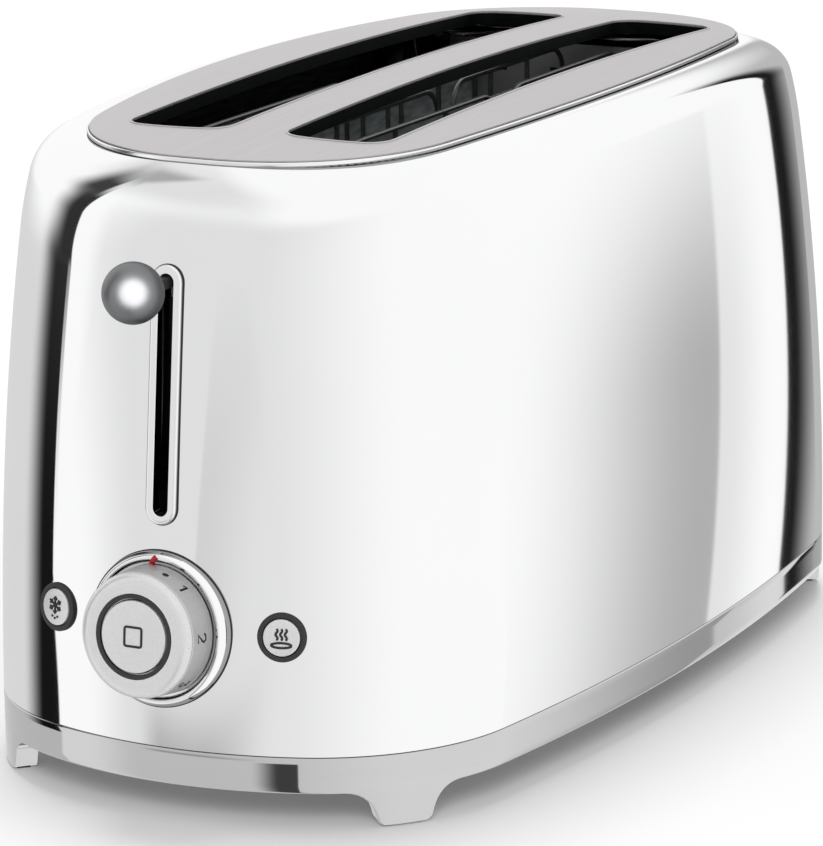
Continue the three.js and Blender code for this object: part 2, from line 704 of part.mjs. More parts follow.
function basePlate() {
  const plate = prism(BODY, BAND_WALL + SEAT, BASE_BOTTOM, BASE_TOP);
  const railInner = TRAY_WIDTH / 2 + SEAT;
  const rails = SIDES.map((side) => {
    const low = Math.min(side * railInner, side * (railInner + SHEET));
    const start = [TRAY_INNER_END, low, BASE_BOTTOM];
    return block(start, [CHASSIS_REAR + CHASSIS_SHEET, low + SHEET, BASE_TOP + TRAY_HEIGHT]);
  });
  const vents = SIDES.flatMap((side) => Array.from({ length: VENT_ROWS }, (_, row) => {
    const x = (row - (VENT_ROWS - 1) / 2) * VENT_PITCH;
    const y = side * (BODY.y - BAND_WALL - FIT + railInner) / 2;
    const half = (BODY.y - BAND_WALL - railInner) / 3;
    return block([x - VENT_WIDTH / 2, y - half, 0], [x + VENT_WIDTH / 2, y + half, OVERRUN]);
  }));
  const middleVents = SIDES.map((side) => {
    const x = side * VENT_LENGTH * 2;
    return block([x - VENT_LENGTH / 2, -VENT_WIDTH / 2, 0], [x + VENT_LENGTH / 2, VENT_WIDTH / 2, OVERRUN]);
  });
  const screws = LUG_PLACES.map(({ x, y }) => post(x, y, SCREW_RADIUS + SEAT, 0, OVERRUN, SMALL_ROUND));
  const gland = post(GLAND_X, GLAND_Y, GLAND_NECK / 2 + SEAT, 0, OVERRUN, SMALL_ROUND);
  return cut(join(plate, ...rails), ...vents, ...middleVents, ...screws, gland);
}

function cordGland() {
  const flange = GLAND_FLANGE / 2;
  const neck = GLAND_NECK / 2;
  const bore = GLAND_BORE / 2;
  const low = BASE_BOTTOM - SEAT;
  const high = BASE_TOP + SEAT;
  return turnedRing([
    [bore, low - SHEET],
    [flange, low - SHEET],
    [flange, low],
    [neck, low],
    [neck, high],
    [flange, high],
    [flange, high + SHEET],
    [bore, high + SHEET],
  ], SMALL_ROUND).translate(GLAND_X, GLAND_Y, 0);
}

function baseScrew({ x, y }) {
  const underside = BASE_BOTTOM - SEAT;
  const head = post(x, y, SCREW_HEAD_RADIUS, underside - SCREW_HEAD_HEIGHT, underside, SMALL_ROUND);
  return join(head, post(x, y, SCREW_RADIUS, underside - SCREW_HEAD_HEIGHT, BASE_BOTTOM + SCREW_LENGTH - SEAT, WIRE_SIDES));
}

function crumbTray() {
  const half = TRAY_WIDTH / 2;
  const floor = TRAY_FLOOR;
  const top = floor + TRAY_HEIGHT;
  const inside = prism(BODY, BAND_WALL / 2, 0, OVERRUN);
  const pan = block([TRAY_INNER_END, -half, floor], [BODY.x, half, top]).intersect(inside);
  const well = prism(BODY, BAND_WALL + TRAY_WALL, 0, OVERRUN);
  const hollowLow = [TRAY_INNER_END + TRAY_WALL, -half + TRAY_WALL, floor + TRAY_WALL];
  const hollow = block(hollowLow, [BODY.x, half - TRAY_WALL, OVERRUN]).intersect(well);
  const front = prism(BODY, 0, 0, OVERRUN).intersect(trayWindow(SEAT));
  const frontBack = prism(BODY, BAND_WALL, -OVERRUN, 2 * OVERRUN);
  const grip = new THREE.CylinderGeometry(GRIP_RADIUS, GRIP_RADIUS, OVERRUN, SMALL_ROUND);
  grip.rotateZ(Math.PI / 2).translate(BODY.x + OVERRUN / 2 - BAND_WALL / 2, 0, floor + GRIP_HEIGHT - GRIP_RADIUS);
  return cut(join(cut(pan, hollow), cut(front, frontBack)), solid(grip));
}

// Top: trim ring and slotted plate

function topTrim() {
  const at = (drop) => (x, y) => crown(x, y) - drop;
  const flangeTop = PLATE_THICKNESS + SEAT;
  return skin([
    ring(MOUTH, 0, at(TRIM_BOTTOM_DROP)),
    ring(MOUTH, BAND_CHAMFER / 2, at(TRIM_LIP)),
    ring(MOUTH, TRIM_MARGIN - SEAT, at(TRIM_LIP)),
    ring(MOUTH, TRIM_MARGIN - SEAT, at(flangeTop)),
    ring(MOUTH, TRIM_FLANGE, at(flangeTop)),
    ring(MOUTH, TRIM_FLANGE, at(TRIM_BOTTOM_DROP)),
  ], true);
}

const PLATE_RING_SHARES = [0.5, 1];

function topPlate() {
  const edge = outline(MOUTH, TRIM_MARGIN);
  const scaled = (share, drop) => edge.map(({ point }) => {
    const [x, y] = [point.x * share, point.y * share];
    return new THREE.Vector3(x, y, crown(x, y) - drop);
  });
  const under = PLATE_RING_SHARES.map((share) => scaled(share, PLATE_THICKNESS));
  const over = PLATE_RING_SHARES.map((share) => scaled(share, 0)).reverse();
  const low = new THREE.Vector3(0, 0, crown(0, 0) - PLATE_THICKNESS);
  const high = new THREE.Vector3(0, 0, crown(0, 0));
  const plate = skin([[low], ...under, ...over, [high]]);
  const lips = SIDES.map((side) => {
    const moved = (points, drop) => points.map(({ x, y }) => {
      const [px, py] = [x + SLOT_SHIFT, y + side * SLOT_Y];
      return new THREE.Vector3(px, py, crown(px, py) - drop);
    });
    const outer = ring(SLOT, -SLOT_LIP_WALL, 0, SLOT_STEPS);
    const inner = ring(SLOT, 0, 0, SLOT_STEPS);
    const rings = [moved(outer, SLOT_LIP_DEPTH), moved(outer, -SLOT_LIP_RISE)];
    rings.push(moved(inner, -SLOT_LIP_RISE), moved(inner, SLOT_LIP_DEPTH));
    return skin(rings, true);
  });
  const openings = SIDES.map((side) =>
    prism(SLOT, 0, BODY.y, OVERALL_HEIGHT + OVERRUN, SLOT_STEPS).translate(SLOT_SHIFT, side * SLOT_Y, 0));
  return cut(join(plate, ...lips), ...openings);
}

// Front end: the stations of the dial and of the buttons, and the slot of the lever

const dialStation = station(0, DIAL_HEIGHT);
const buttonStations = SIDES.map((side) => station(side * BUTTON_SPACING / 2, BUTTON_HEIGHT));
const slotStation = station(0, (BEZEL_TOP + BEZEL_BOTTOM) / 2);
const BEZEL_LENGTH = (BEZEL_TOP - BEZEL_BOTTOM) / slotStation.userData.up.z;
const LEVER_SLOT_LENGTH = BEZEL_LENGTH - 2 * LEVER_SLOT_RIM;

function bodyShell() {
  const outside = OUTER_LEVEL_SHARES.map((share) => shellRing(share, 0));
  const inside = INNER_LEVEL_SHARES.map((share) => shellRing(share, SHELL_WALL));
  const neck = LEVER_SLOT_WIDTH + 2 * BEZEL_NECK_WALL + 2 * SEAT;
  const neckLength = LEVER_SLOT_LENGTH + 2 * BEZEL_NECK_WALL + 2 * SEAT;
  const lever = fromStation(capsule(neck, neckLength, -OVERRUN, OVERRUN), slotStation);
  const dial = fromStation(post(0, 0, DIAL_HUB_HOLE, -OVERRUN, OVERRUN), dialStation);
  const buttons = buttonStations.map((place) =>
    fromStation(post(0, 0, BUTTON_BEZEL_NECK + SEAT, -OVERRUN / 2, OVERRUN / 2), place));
  return cut(skin([...outside, ...inside], true), lever, dial, ...buttons);
}

// The outside of the shell grown by a clearance, to shape the backs of what sits on it.
const shellEnvelope = skin([
  [new THREE.Vector3(0, 0, SHELL_FOOT)],
  ...OUTER_LEVEL_SHARES.map((share) => shellRing(share, -SEAT)),
  [new THREE.Vector3(0, 0, OVERALL_HEIGHT - SHELL_TOP_DROP)],
]);

function leverBezel() {
  const opening = capsule(LEVER_SLOT_WIDTH, LEVER_SLOT_LENGTH, -OVERRUN, OVERRUN);
  const face = capsule(BEZEL_WIDTH - 2 * BEZEL_CHAMFER, BEZEL_LENGTH - 2 * BEZEL_CHAMFER, -FIT, BEZEL_PROUD);
  const flange = capsule(BEZEL_WIDTH, BEZEL_LENGTH, -FIT, BEZEL_PROUD - BEZEL_CHAMFER);
  const width = LEVER_SLOT_WIDTH + 2 * BEZEL_NECK_WALL;
  const neck = capsule(width, LEVER_SLOT_LENGTH + 2 * BEZEL_NECK_WALL, -BEZEL_NECK_DEPTH, BEZEL_PROUD / 2);
  const rim = cut(join(flange, face), toStation(shellEnvelope, slotStation));
  return cut(join(rim, neck), opening);
}

function dialRing() {
  const rim = DIAL_RING_RADIUS;
  const bead = (DIAL_RING_RADIUS - DIAL_RING_INNER) / 3;
  const ringBody = turnedRing([
    [DIAL_HUB_HOLE, -DIAL_DISH_BACK],
    [rim, -DIAL_DISH_BACK],
    [rim, DIAL_RING_BEAD - bead],
    [rim - bead / 2, DIAL_RING_BEAD - bead / 4],
    [rim - bead, DIAL_RING_BEAD],
    [DIAL_RING_INNER, DIAL_DISH_FLOOR],
    [DIAL_HUB_HOLE, DIAL_DISH_FLOOR],
  ]);
  return cut(ringBody, toStation(shellEnvelope, dialStation));
}

function knob() {
  const inlayFloor = KNOB_PROUD - KNOB_INLAY_DEPTH;
  const wellFloor = KNOB_PROUD - KNOB_WELL_DEPTH;
  const under = wellFloor - KNOB_WALL;
  const inside = KNOB_SIDE_RADIUS - KNOB_WALL;
  const bevelStart = KNOB_PROUD - KNOB_BEVEL_DEPTH;
  return turnedRing([
    [KNOB_HUB_BORE, -KNOB_HUB_DEPTH],
    [KNOB_HUB_RADIUS, -KNOB_HUB_DEPTH],
    [KNOB_HUB_RADIUS, under],
    [inside, under],
    [inside, KNOB_SKIRT_START],
    [KNOB_SKIRT_RADIUS, KNOB_SKIRT_START],
    [KNOB_SIDE_RADIUS, bevelStart],
    [KNOB_SIDE_RADIUS - KNOB_BEVEL / 3, bevelStart + KNOB_BEVEL_DEPTH * 2 / 3],
    [KNOB_SIDE_RADIUS - KNOB_BEVEL, KNOB_PROUD],
    [KNOB_INLAY_OUTER + SEAT, KNOB_PROUD],
    [KNOB_INLAY_OUTER + SEAT, inlayFloor],
    [STOP_CAP_RADIUS + SEAT, inlayFloor],
    [STOP_CAP_RADIUS + SEAT, wellFloor],
    [KNOB_HUB_BORE, wellFloor],
  ]);
}

function knobInlay() {
  const low = KNOB_PROUD - KNOB_INLAY_DEPTH + SEAT;
  return turnedRing([
    [KNOB_INLAY_INNER, low],
    [KNOB_INLAY_OUTER, low],
    [KNOB_INLAY_OUTER, KNOB_PROUD],
    [KNOB_INLAY_INNER, KNOB_PROUD],
  ]);
}

function stopButton() {
  const top = KNOB_PROUD + SEAT;
  return turned([
    [0, -STOP_STEM_DEPTH],
    [STOP_STEM_RADIUS, -STOP_STEM_DEPTH],
    [STOP_STEM_RADIUS, top - STOP_CAP_HEIGHT],
    [STOP_CAP_RADIUS, top - STOP_CAP_HEIGHT],
    [STOP_CAP_RADIUS, top - STOP_EDGE],
    [STOP_CAP_RADIUS - STOP_EDGE, top],
    [0, top],
  ]);
}

function buttonBezel(place) {
  const flange = post(0, 0, BUTTON_BEZEL_RADIUS, -FIT, BUTTON_BEZEL_PROUD);
  const rim = cut(flange, toStation(shellEnvelope, place));
  const neck = post(0, 0, BUTTON_BEZEL_NECK, -BUTTON_BEZEL_DEPTH, BUTTON_BEZEL_PROUD / 2);
  return cut(join(rim, neck), post(0, 0, BUTTON_BEZEL_BORE, -OVERRUN, OVERRUN));
}

function sideButton() {
  return turned([
    [0, -BUTTON_DEPTH],
    [BUTTON_RADIUS, -BUTTON_DEPTH],
    [BUTTON_RADIUS, BUTTON_PROUD - BUTTON_EDGE],
    [BUTTON_RADIUS - BUTTON_EDGE, BUTTON_PROUD],
    [0, BUTTON_PROUD],
  ]);
}

// Electrics: one board behind the front wall, and on it the switches of the dial and the buttons

const PCB_FRONT = -PCB_DEPTH + PCB_SHEET / 2;

function controlBoard() {
  const { up, out } = dialStation.userData;
  const back = -PCB_DEPTH - PCB_SHEET / 2;
  const bottom = (FLOOR - DIAL_HEIGHT - back * out.z) / up.z;
  const low = [-PCB_WIDTH / 2, bottom, back];
  return block(low, [PCB_WIDTH / 2, PCB_ABOVE_DIAL, PCB_FRONT]);
}

function dialSwitch() {
  return turnedRing([
    [DIAL_SWITCH_BORE, PCB_FRONT + SEAT],
    [DIAL_SWITCH_RADIUS, PCB_FRONT + SEAT],
    [DIAL_SWITCH_RADIUS, -KNOB_HUB_DEPTH - SEAT],
    [DIAL_SWITCH_BORE, -KNOB_HUB_DEPTH - SEAT],
  ]);
}

function stopSwitch() {
  return post(0, 0, STOP_SWITCH_RADIUS, PCB_FRONT + SEAT, -STOP_STEM_DEPTH - BUTTON_TRAVEL - SEAT, SMALL_ROUND);
}

// A switch that reaches from behind its button to the face of the board.
function sideSwitch(place) {
  const half = SWITCH_WIDTH / 2;
  const top = -BUTTON_DEPTH - BUTTON_TRAVEL - SEAT;
  const body = fromStation(block([-half, -half, -OVERRUN], [half, half, top]), place);
  const far = block([-OVERRUN * 2, -OVERRUN * 2, -OVERRUN * 2], [OVERRUN * 2, OVERRUN * 2, PCB_FRONT + SEAT]);
  return cut(body, fromStation(far, dialStation));
}

// Chassis

function chassisPlate(x) {
  const half = CHASSIS_WIDTH / 2;
  return (bottom) => block([x - CHASSIS_SHEET / 2, -half, bottom], [x + CHASSIS_SHEET / 2, half, CHASSIS_TOP]);
}

// Windows that the arms of the racks, or the tongues at their far ends, run in.
function liftSlots(x) {
  const half = RACK_ARM_WIDTH / 2 + FIT;
  const bottom = RACK_ARM_BOTTOM - LIFT_TRAVEL - FIT;
  const top = RACK_ARM_BOTTOM + RACK_ARM_HEIGHT + FIT;
  return SIDES.map((side) => block([x - FIT, side * SLOT_Y - half, bottom], [x + FIT, side * SLOT_Y + half, top]));
}

// Slots for the rails of the bread guides, as long as the guides travel.
function guideSlots(x) {
  const half = GUIDE_WIRE / 2;
  return GUIDES.flatMap(({ y, inward }) => [GUIDE_RAIL_TOP, GUIDE_RAIL_BOTTOM].map((height) => {
    const from = Math.min(y, y + inward * GUIDE_TRAVEL) - half - SEAT;
    const to = Math.max(y, y + inward * GUIDE_TRAVEL) + half + SEAT;
    return block([x - FIT, from, height - half - SEAT], [x + FIT, to, height + half + SEAT]);
  }));
}

const GUIDES = SIDES.flatMap((side) => [
  { name: side < 0 ? "right_outer" : "left_outer", y: side * GUIDE_OUTER_SPACING / 2, inward: -side },
  { name: side < 0 ? "right_inner" : "left_inner", y: side * GUIDE_INNER_SPACING / 2, inward: side },
]);

function frontChassis() {
  const back = CHASSIS_FRONT + CHASSIS_SHEET / 2;
  const bracketLow = [back - BRACKET_REACH, -BRACKET_WIDTH / 2, CHASSIS_TOP - CHASSIS_SHEET];
  const bracket = block(bracketLow, [back, BRACKET_WIDTH / 2, CHASSIS_TOP]);
  const plate = join(chassisPlate(CHASSIS_FRONT)(FLOOR), bracket);
  return cut(plate, ...liftSlots(CHASSIS_FRONT), ...guideSlots(CHASSIS_FRONT));
}

// The rear plate stands on two legs beside the tray, which slides out under it.
function rearChassis() {
  const plate = chassisPlate(CHASSIS_REAR)(REFLECTOR_BOTTOM);
  const inner = TRAY_WIDTH / 2 + SEAT + SHEET + SEAT;
  const legs = SIDES.map((side) => {
    const low = Math.min(side * inner, side * (inner + CHASSIS_LEG));
    const from = [CHASSIS_REAR - CHASSIS_SHEET / 2, low, FLOOR];
    return block(from, [CHASSIS_REAR + CHASSIS_SHEET / 2, low + CHASSIS_LEG, CHASSIS_TOP / 2]);
  });
  return cut(join(plate, ...legs), ...liftSlots(CHASSIS_REAR), ...guideSlots(CHASSIS_REAR));
}

function sideReflector(side) {
  const y = side * REFLECTOR_SPACING / 2;
  const sheet = (from, to, bottom, top) => {
    const [low, high] = [Math.min(from, to), Math.max(from, to)];
    return block([CHASSIS_INNER_FRONT, low, bottom], [CHASSIS_INNER_REAR, high, top]);
  };
  const outer = y + side * REFLECTOR_SHEET;
  return join(
    sheet(y, outer, REFLECTOR_BOTTOM, REFLECTOR_TOP),
    sheet(y, outer + side * REFLECTOR_FLANGE, REFLECTOR_TOP - REFLECTOR_SHEET, REFLECTOR_TOP),
    sheet(y, outer + side * REFLECTOR_FLANGE, REFLECTOR_BOTTOM, REFLECTOR_BOTTOM + REFLECTOR_SHEET),
  );
}

function centreReflector() {
  const half = REFLECTOR_SHEET / 2;
  return block([CHASSIS_INNER_FRONT, -half, REFLECTOR_BOTTOM], [CHASSIS_INNER_REAR, half, REFLECTOR_TOP]);
}

// A mica board with rows of heating ribbon on the face towards the bread.
function heaterBoard(y, towards) {
  const half = BOARD_SHEET / 2;
  const board = block([CHASSIS_INNER_FRONT, y - half, BOARD_BOTTOM], [CHASSIS_INNER_REAR, y + half, BOARD_TOP]);
  const face = y + towards * half;
  const proud = face + towards * RIBBON_THICKNESS;
  const pitch = (BOARD_TOP - BOARD_BOTTOM) / (RIBBON_ROWS + 1);
  const ribbons = Array.from({ length: RIBBON_ROWS }, (_, row) => {
    const z = BOARD_BOTTOM + pitch * (row + 1);
    const low = [CHASSIS_INNER_FRONT + RACK_MARGIN, Math.min(y, proud), z - RIBBON_WIDTH / 2];
    return block(low, [CHASSIS_INNER_REAR - RACK_MARGIN, Math.max(y, proud), z + RIBBON_WIDTH / 2]);
  });
  return join(board, ...ribbons);
}

// A quarter bend of a guide's hoop in its own plane, from one direction to the next.
function bend(x, y, z, from, to) {
  return Array.from({ length: BEND_STEPS + 1 }, (_, step) => {
    const angle = from + ((to - from) * step) / BEND_STEPS;
    return new THREE.Vector3(x + GUIDE_CORNER * Math.cos(angle), y, z + GUIDE_CORNER * Math.sin(angle));
  });
}

// One hoop of wire, open at the bottom, with upright wires inside it.
function hoop(y, from, to) {
  const top = GUIDE_TOP - GUIDE_WIRE / 2 - GUIDE_CORNER;
  const route = [
    new THREE.Vector3(from, y, GUIDE_BOTTOM),
    ...bend(from + GUIDE_CORNER, y, top, Math.PI, Math.PI / 2),
    ...bend(to - GUIDE_CORNER, y, top, Math.PI / 2, 0),
    new THREE.Vector3(to, y, GUIDE_BOTTOM),
  ];
  const count = Math.ceil((to - from) / GUIDE_WIRE_PITCH);
  const uprights = Array.from({ length: count - 1 }, (_, i) => {
    const x = from + ((to - from) * (i + 1)) / count;
    return post(x, y, GUIDE_WIRE / 2, GUIDE_BOTTOM, GUIDE_TOP - GUIDE_WIRE / 2, UPRIGHT_SIDES);
  });
  return join(wire(route, GUIDE_WIRE), ...uprights);
}

// A bread guide: two hoops side by side on two long rails, whose ends ride in the chassis plates.
function breadGuide(y) {
  const from = CHASSIS_INNER_FRONT + GUIDE_MARGIN;
  const to = CHASSIS_INNER_REAR - GUIDE_MARGIN;
  const split = from + (to - from) * GUIDE_SPLIT_SHARE;
  const reach = CHASSIS_SHEET + FIT;
  const rails = [GUIDE_RAIL_TOP, GUIDE_RAIL_BOTTOM].map((z) => wire([
    new THREE.Vector3(CHASSIS_INNER_FRONT - reach, y, z),
    new THREE.Vector3(CHASSIS_INNER_REAR + reach, y, z),
  ], GUIDE_WIRE, UPRIGHT_SIDES));
  return join(...rails, hoop(y, from, split - GUIDE_GAP / 2), hoop(y, split + GUIDE_GAP / 2, to));
}

// Lift

function carriage() {
  const back = CARRIAGE_X - CARRIAGE_SHEET / 2;
  const face = CARRIAGE_X + CARRIAGE_SHEET / 2;
  const half = CARRIAGE_WIDTH / 2;
  const plate = block([back, -half, CARRIAGE_BOTTOM], [face, half, CARRIAGE_TOP]);
  const flangeLow = [back - ARMATURE_LENGTH, -ARMATURE_WIDTH / 2, CARRIAGE_BOTTOM];
  const flange = block(flangeLow, [face, ARMATURE_WIDTH / 2, CARRIAGE_BOTTOM + CARRIAGE_SHEET]);
  const bore = ROD_DIAMETER / 2 + SEAT;
  const bushings = SIDES.map((side) =>
    post(ROD_X, side * ROD_SPACING / 2, bore + BUSHING_WALL, BUSHING_BOTTOM, BUSHING_TOP, SMALL_ROUND));
  const bores = SIDES.map((side) =>
    post(ROD_X, side * ROD_SPACING / 2, bore, 0, OVERALL_HEIGHT, SMALL_ROUND));
  const lugLow = [SPRING_X - SPRING_RADIUS - SPRING_WIRE, SPRING_Y - SPRING_RADIUS - SPRING_WIRE / 2];
  const lugTop = SPRING_BOTTOM - SEAT;
  const lug = block([...lugLow, lugTop - LUG_SHEET], [face, SPRING_Y + SPRING_RADIUS + SPRING_WIRE / 2, lugTop]);
  const armLow = [ARM_END, -ARM_WIDTH / 2, BALL_HEIGHT - ARM_HEIGHT / 2];
  const arm = block(armLow, [face, ARM_WIDTH / 2, BALL_HEIGHT + ARM_HEIGHT / 2]);
  const gussetLow = [back - GUSSET_LENGTH, -ARM_WIDTH / 2, BALL_HEIGHT + ARM_HEIGHT / 2 - GUSSET_HEIGHT];
  const gusset = block(gussetLow, [face, ARM_WIDTH / 2, BALL_HEIGHT + ARM_HEIGHT / 2]);
  return cut(join(plate, flange, ...bushings, lug, arm, gusset), ...bores);
}

const BALL_X = -BODY.x - BALL_REACH;
const COLLAR_OUTER = BALL_X + BALL_FLAT + SEAT;
const ARM_END = COLLAR_OUTER + COLLAR_LENGTH + SEAT;

// A turned body laid along x with its own axis pointing forward out of the front end.
function forward(made, x, height) {
  const turn = new THREE.Matrix4().makeRotationY(-Math.PI / 2);
  return made.transform(turn.elements).translate(x, 0, height);
}

// A ball with a flat where the collar meets it.
function leverBall() {
  const radius = BALL_DIAMETER / 2;
  const from = -Math.asin(BALL_FLAT / radius);
  const profile = [[0, -BALL_FLAT]];
  for (let i = 0; i < BALL_STEPS; i++) {
    const angle = from + ((Math.PI / 2 - from) * i) / BALL_STEPS;
    profile.push([radius * Math.cos(angle), radius * Math.sin(angle)]);
  }
  return forward(turned([...profile, [0, radius]]), BALL_X, BALL_HEIGHT);
}

function leverCollar() {
  return forward(turned([
    [0, 0],
    [COLLAR_NECK, 0],
    [COLLAR_RADIUS, COLLAR_LENGTH - FIT],
    [COLLAR_RADIUS, COLLAR_LENGTH],
    [0, COLLAR_LENGTH],
  ], SMALL_ROUND), COLLAR_OUTER + COLLAR_LENGTH, BALL_HEIGHT);
}

function armaturePlate() {
  const back = CARRIAGE_X - CARRIAGE_SHEET / 2;
  const top = CARRIAGE_BOTTOM - SEAT;
  const low = [back - ARMATURE_LENGTH, -ARMATURE_WIDTH / 2, top - ARMATURE_THICKNESS];
  return block(low, [back, ARMATURE_WIDTH / 2, top]);
}

// The holding magnet: a coil between the two poles of a yoke.
function holdingMagnet() {
  const top = CARRIAGE_BOTTOM - SEAT - ARMATURE_THICKNESS - LIFT_TRAVEL - MAGNET_GAP;
  const x = CARRIAGE_X - CARRIAGE_SHEET / 2 - ARMATURE_LENGTH / 2;
  const [halfX, halfY] = [MAGNET_LENGTH / 2, MAGNET_WIDTH / 2];
  const body = block([x - halfX, -halfY, FLOOR], [x + halfX, halfY, top]);
  const gaps = SIDES.map((side) => {
    const y = side * (halfY - MAGNET_YOKE - FIT / 2);
    return block([x - OVERRUN, y - FIT / 2, FLOOR + MAGNET_YOKE], [x + OVERRUN, y + FIT / 2, top + FIT]);
  });
  return cut(body, ...gaps);
}

// A rack: a strip with notched teeth that hold the bread, an arm to the carriage and a tongue at the far end.
function rack(side) {
  const y = side * SLOT_Y;
  const half = RACK_WIDTH / 2;
  const from = CHASSIS_INNER_FRONT + RACK_MARGIN;
  const to = CHASSIS_INNER_REAR - RACK_MARGIN;
  const top = RACK_TOP - RACK_TOOTH_HEIGHT;
  const strip = block([from, y - half, top - RACK_SHEET], [to, y + half, top]);
  const armLow = [CARRIAGE_X + CARRIAGE_SHEET / 2 + SEAT, y - RACK_ARM_WIDTH / 2, RACK_ARM_BOTTOM];
  const arm = block(armLow, [CHASSIS_REAR + CHASSIS_SHEET / 2 + FIT, y + RACK_ARM_WIDTH / 2, RACK_ARM_BOTTOM + RACK_ARM_HEIGHT]);
  const section = new THREE.Shape();
  section.moveTo(-half, -RACK_SHEET / 2);
  section.lineTo(half, -RACK_SHEET / 2);
  section.lineTo(half, RACK_TOOTH_HEIGHT);
  section.lineTo(0, RACK_TOOTH_HEIGHT - RACK_NOTCH_DEPTH);
  section.lineTo(-half, RACK_TOOTH_HEIGHT);
  const teeth = Array.from({ length: RACK_TEETH }, (_, i) => {
    const x = from + ((to - from - RACK_TOOTH_THICKNESS) * i) / (RACK_TEETH - 1);
    const tooth = new THREE.ExtrudeGeometry(section, { depth: RACK_TOOTH_THICKNESS, bevelEnabled: false });
    return solid(tooth.rotateX(Math.PI / 2).rotateZ(Math.PI / 2).translate(x, y, top));
  });
  return join(strip, arm, ...teeth);
}

// The return spring, drawn between the lug of the carriage and the bracket of the chassis.
class Helix extends THREE.Curve {
  getPoint(share) {
    const angle = 2 * Math.PI * SPRING_TURNS * share;
    const [low, high] = [SPRING_BOTTOM + SPRING_WIRE, STRUT_TOP - SPRING_WIRE];
    const x = SPRING_X + SPRING_RADIUS * Math.cos(angle);
    return new THREE.Vector3(x, SPRING_Y + SPRING_RADIUS * Math.sin(angle), low + (high - low) * share);
  }
}

function returnSpring() {
  const steps = SPRING_TURN_STEPS * SPRING_TURNS;
  const helix = new Helix();
  return wire(Array.from({ length: steps + 1 }, (_, i) => helix.getPoint(i / steps)), SPRING_WIRE);
}

// The whole toaster

piece("body_shell", bodyShell(), CHROME);
piece("top_trim", topTrim(), CHROME);
piece("top_plate", topPlate(), BRUSHED);
piece("base_band", baseBand(), BAND_METAL);
piece("base_plate", basePlate(), SHEET_STEEL);
piece("cord_gland", cordGland(), BLACK);
piece("crumb_tray", crumbTray(), BAND_METAL);
FOOT_PLACES.forEach((place, i) => piece(`foot_pad_${i + 1}`, padBlock(place, 0, PAD_HEIGHT), RUBBER));
LUG_PLACES.forEach((place, i) => piece(`base_screw_${i + 1}`, baseScrew(place), WIRE_STEEL));

piece("lever_bezel", leverBezel(), CHROME, slotStation);
piece("dial_ring", dialRing(), CHROME, dialStation);
piece("browning_knob", knob(), SATIN, dialStation);
piece("knob_inlay", knobInlay(), BLACK, dialStation);
piece("stop_button", stopButton(), SATIN, dialStation);
piece("control_board", controlBoard(), BOARD_GREEN, dialStation);
piece("dial_switch", dialSwitch(), BLACK, dialStation);
piece("stop_switch", stopSwitch(), BLACK, dialStation);
["reheat", "defrost"].forEach((name, i) => {
  piece(`${name}_bezel`, buttonBezel(buttonStations[i]), BLACK, buttonStations[i]);
  piece(`${name}_button`, sideButton(), SATIN, buttonStations[i]);
  piece(`${name}_switch`, sideSwitch(buttonStations[i]), BLACK);
});

piece("front_chassis_plate", frontChassis(), SHEET_STEEL);
piece("rear_chassis_plate", rearChassis(), SHEET_STEEL);
piece("centre_reflector", centreReflector(), SHEET_STEEL);
SIDES.forEach((side, i) => {
  const hand = ["right", "left"][i];
  piece(`${hand}_reflector`, sideReflector(side), SHEET_STEEL);
  piece(`${hand}_outer_heater`, heaterBoard(side * BOARD_OUTER_SPACING / 2, -side), MICA);
  piece(`${hand}_inner_heater`, heaterBoard(side * BOARD_INNER_SPACING / 2, side), MICA);
  piece(`${hand}_rack`, rack(side), WIRE_STEEL);
  piece(`${hand}_lift_rod`, post(ROD_X, side * ROD_SPACING / 2, ROD_DIAMETER / 2, FLOOR, STRUT_TOP, SMALL_ROUND), WIRE_STEEL);
});
GUIDES.forEach(({ name, y }) => piece(`${name}_guide`, breadGuide(y), WIRE_STEEL));

piece("lift_carriage", carriage(), SHEET_STEEL);
piece("armature_plate", armaturePlate(), SHEET_STEEL);
piece("holding_magnet", holdingMagnet(), COPPER);
piece("lever_collar", leverCollar(), CHROME);
piece("lever_ball", leverBall(), CHROME);
piece("return_spring", returnSpring(), WIRE_STEEL);

export default part;
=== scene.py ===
"""The looks of a retro four-slice toaster with two long slots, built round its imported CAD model.

The polished shell, the slotted top, the base band with its feet, the front controls, the crumb tray and
the bread guides are smooth surfaces worked out with numpy. The other CAD pieces keep their shape and get
a finish. Lengths are metres, +Z up, and the front end with the controls points towards -X.
"""

import math

import bmesh
import bpy
import numpy as np
from mathutils import Matrix, Vector


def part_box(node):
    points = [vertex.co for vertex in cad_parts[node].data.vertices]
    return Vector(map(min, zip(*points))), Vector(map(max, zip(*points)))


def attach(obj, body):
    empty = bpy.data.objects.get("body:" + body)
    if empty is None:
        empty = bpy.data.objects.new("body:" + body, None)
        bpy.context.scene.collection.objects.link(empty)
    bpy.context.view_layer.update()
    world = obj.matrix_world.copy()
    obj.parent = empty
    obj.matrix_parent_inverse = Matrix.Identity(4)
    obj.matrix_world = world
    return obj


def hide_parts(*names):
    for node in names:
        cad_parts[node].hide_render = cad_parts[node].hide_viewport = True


bl_info = {
    "name": "Retro Toaster",
    "version": (1, 0, 0),
    "blender": (4, 5, 0),
    "location": "View3D > Sidebar > Toaster",
    "description": "Builds a polished four-slice toaster round its CAD frame",
    "category": "Object",
}

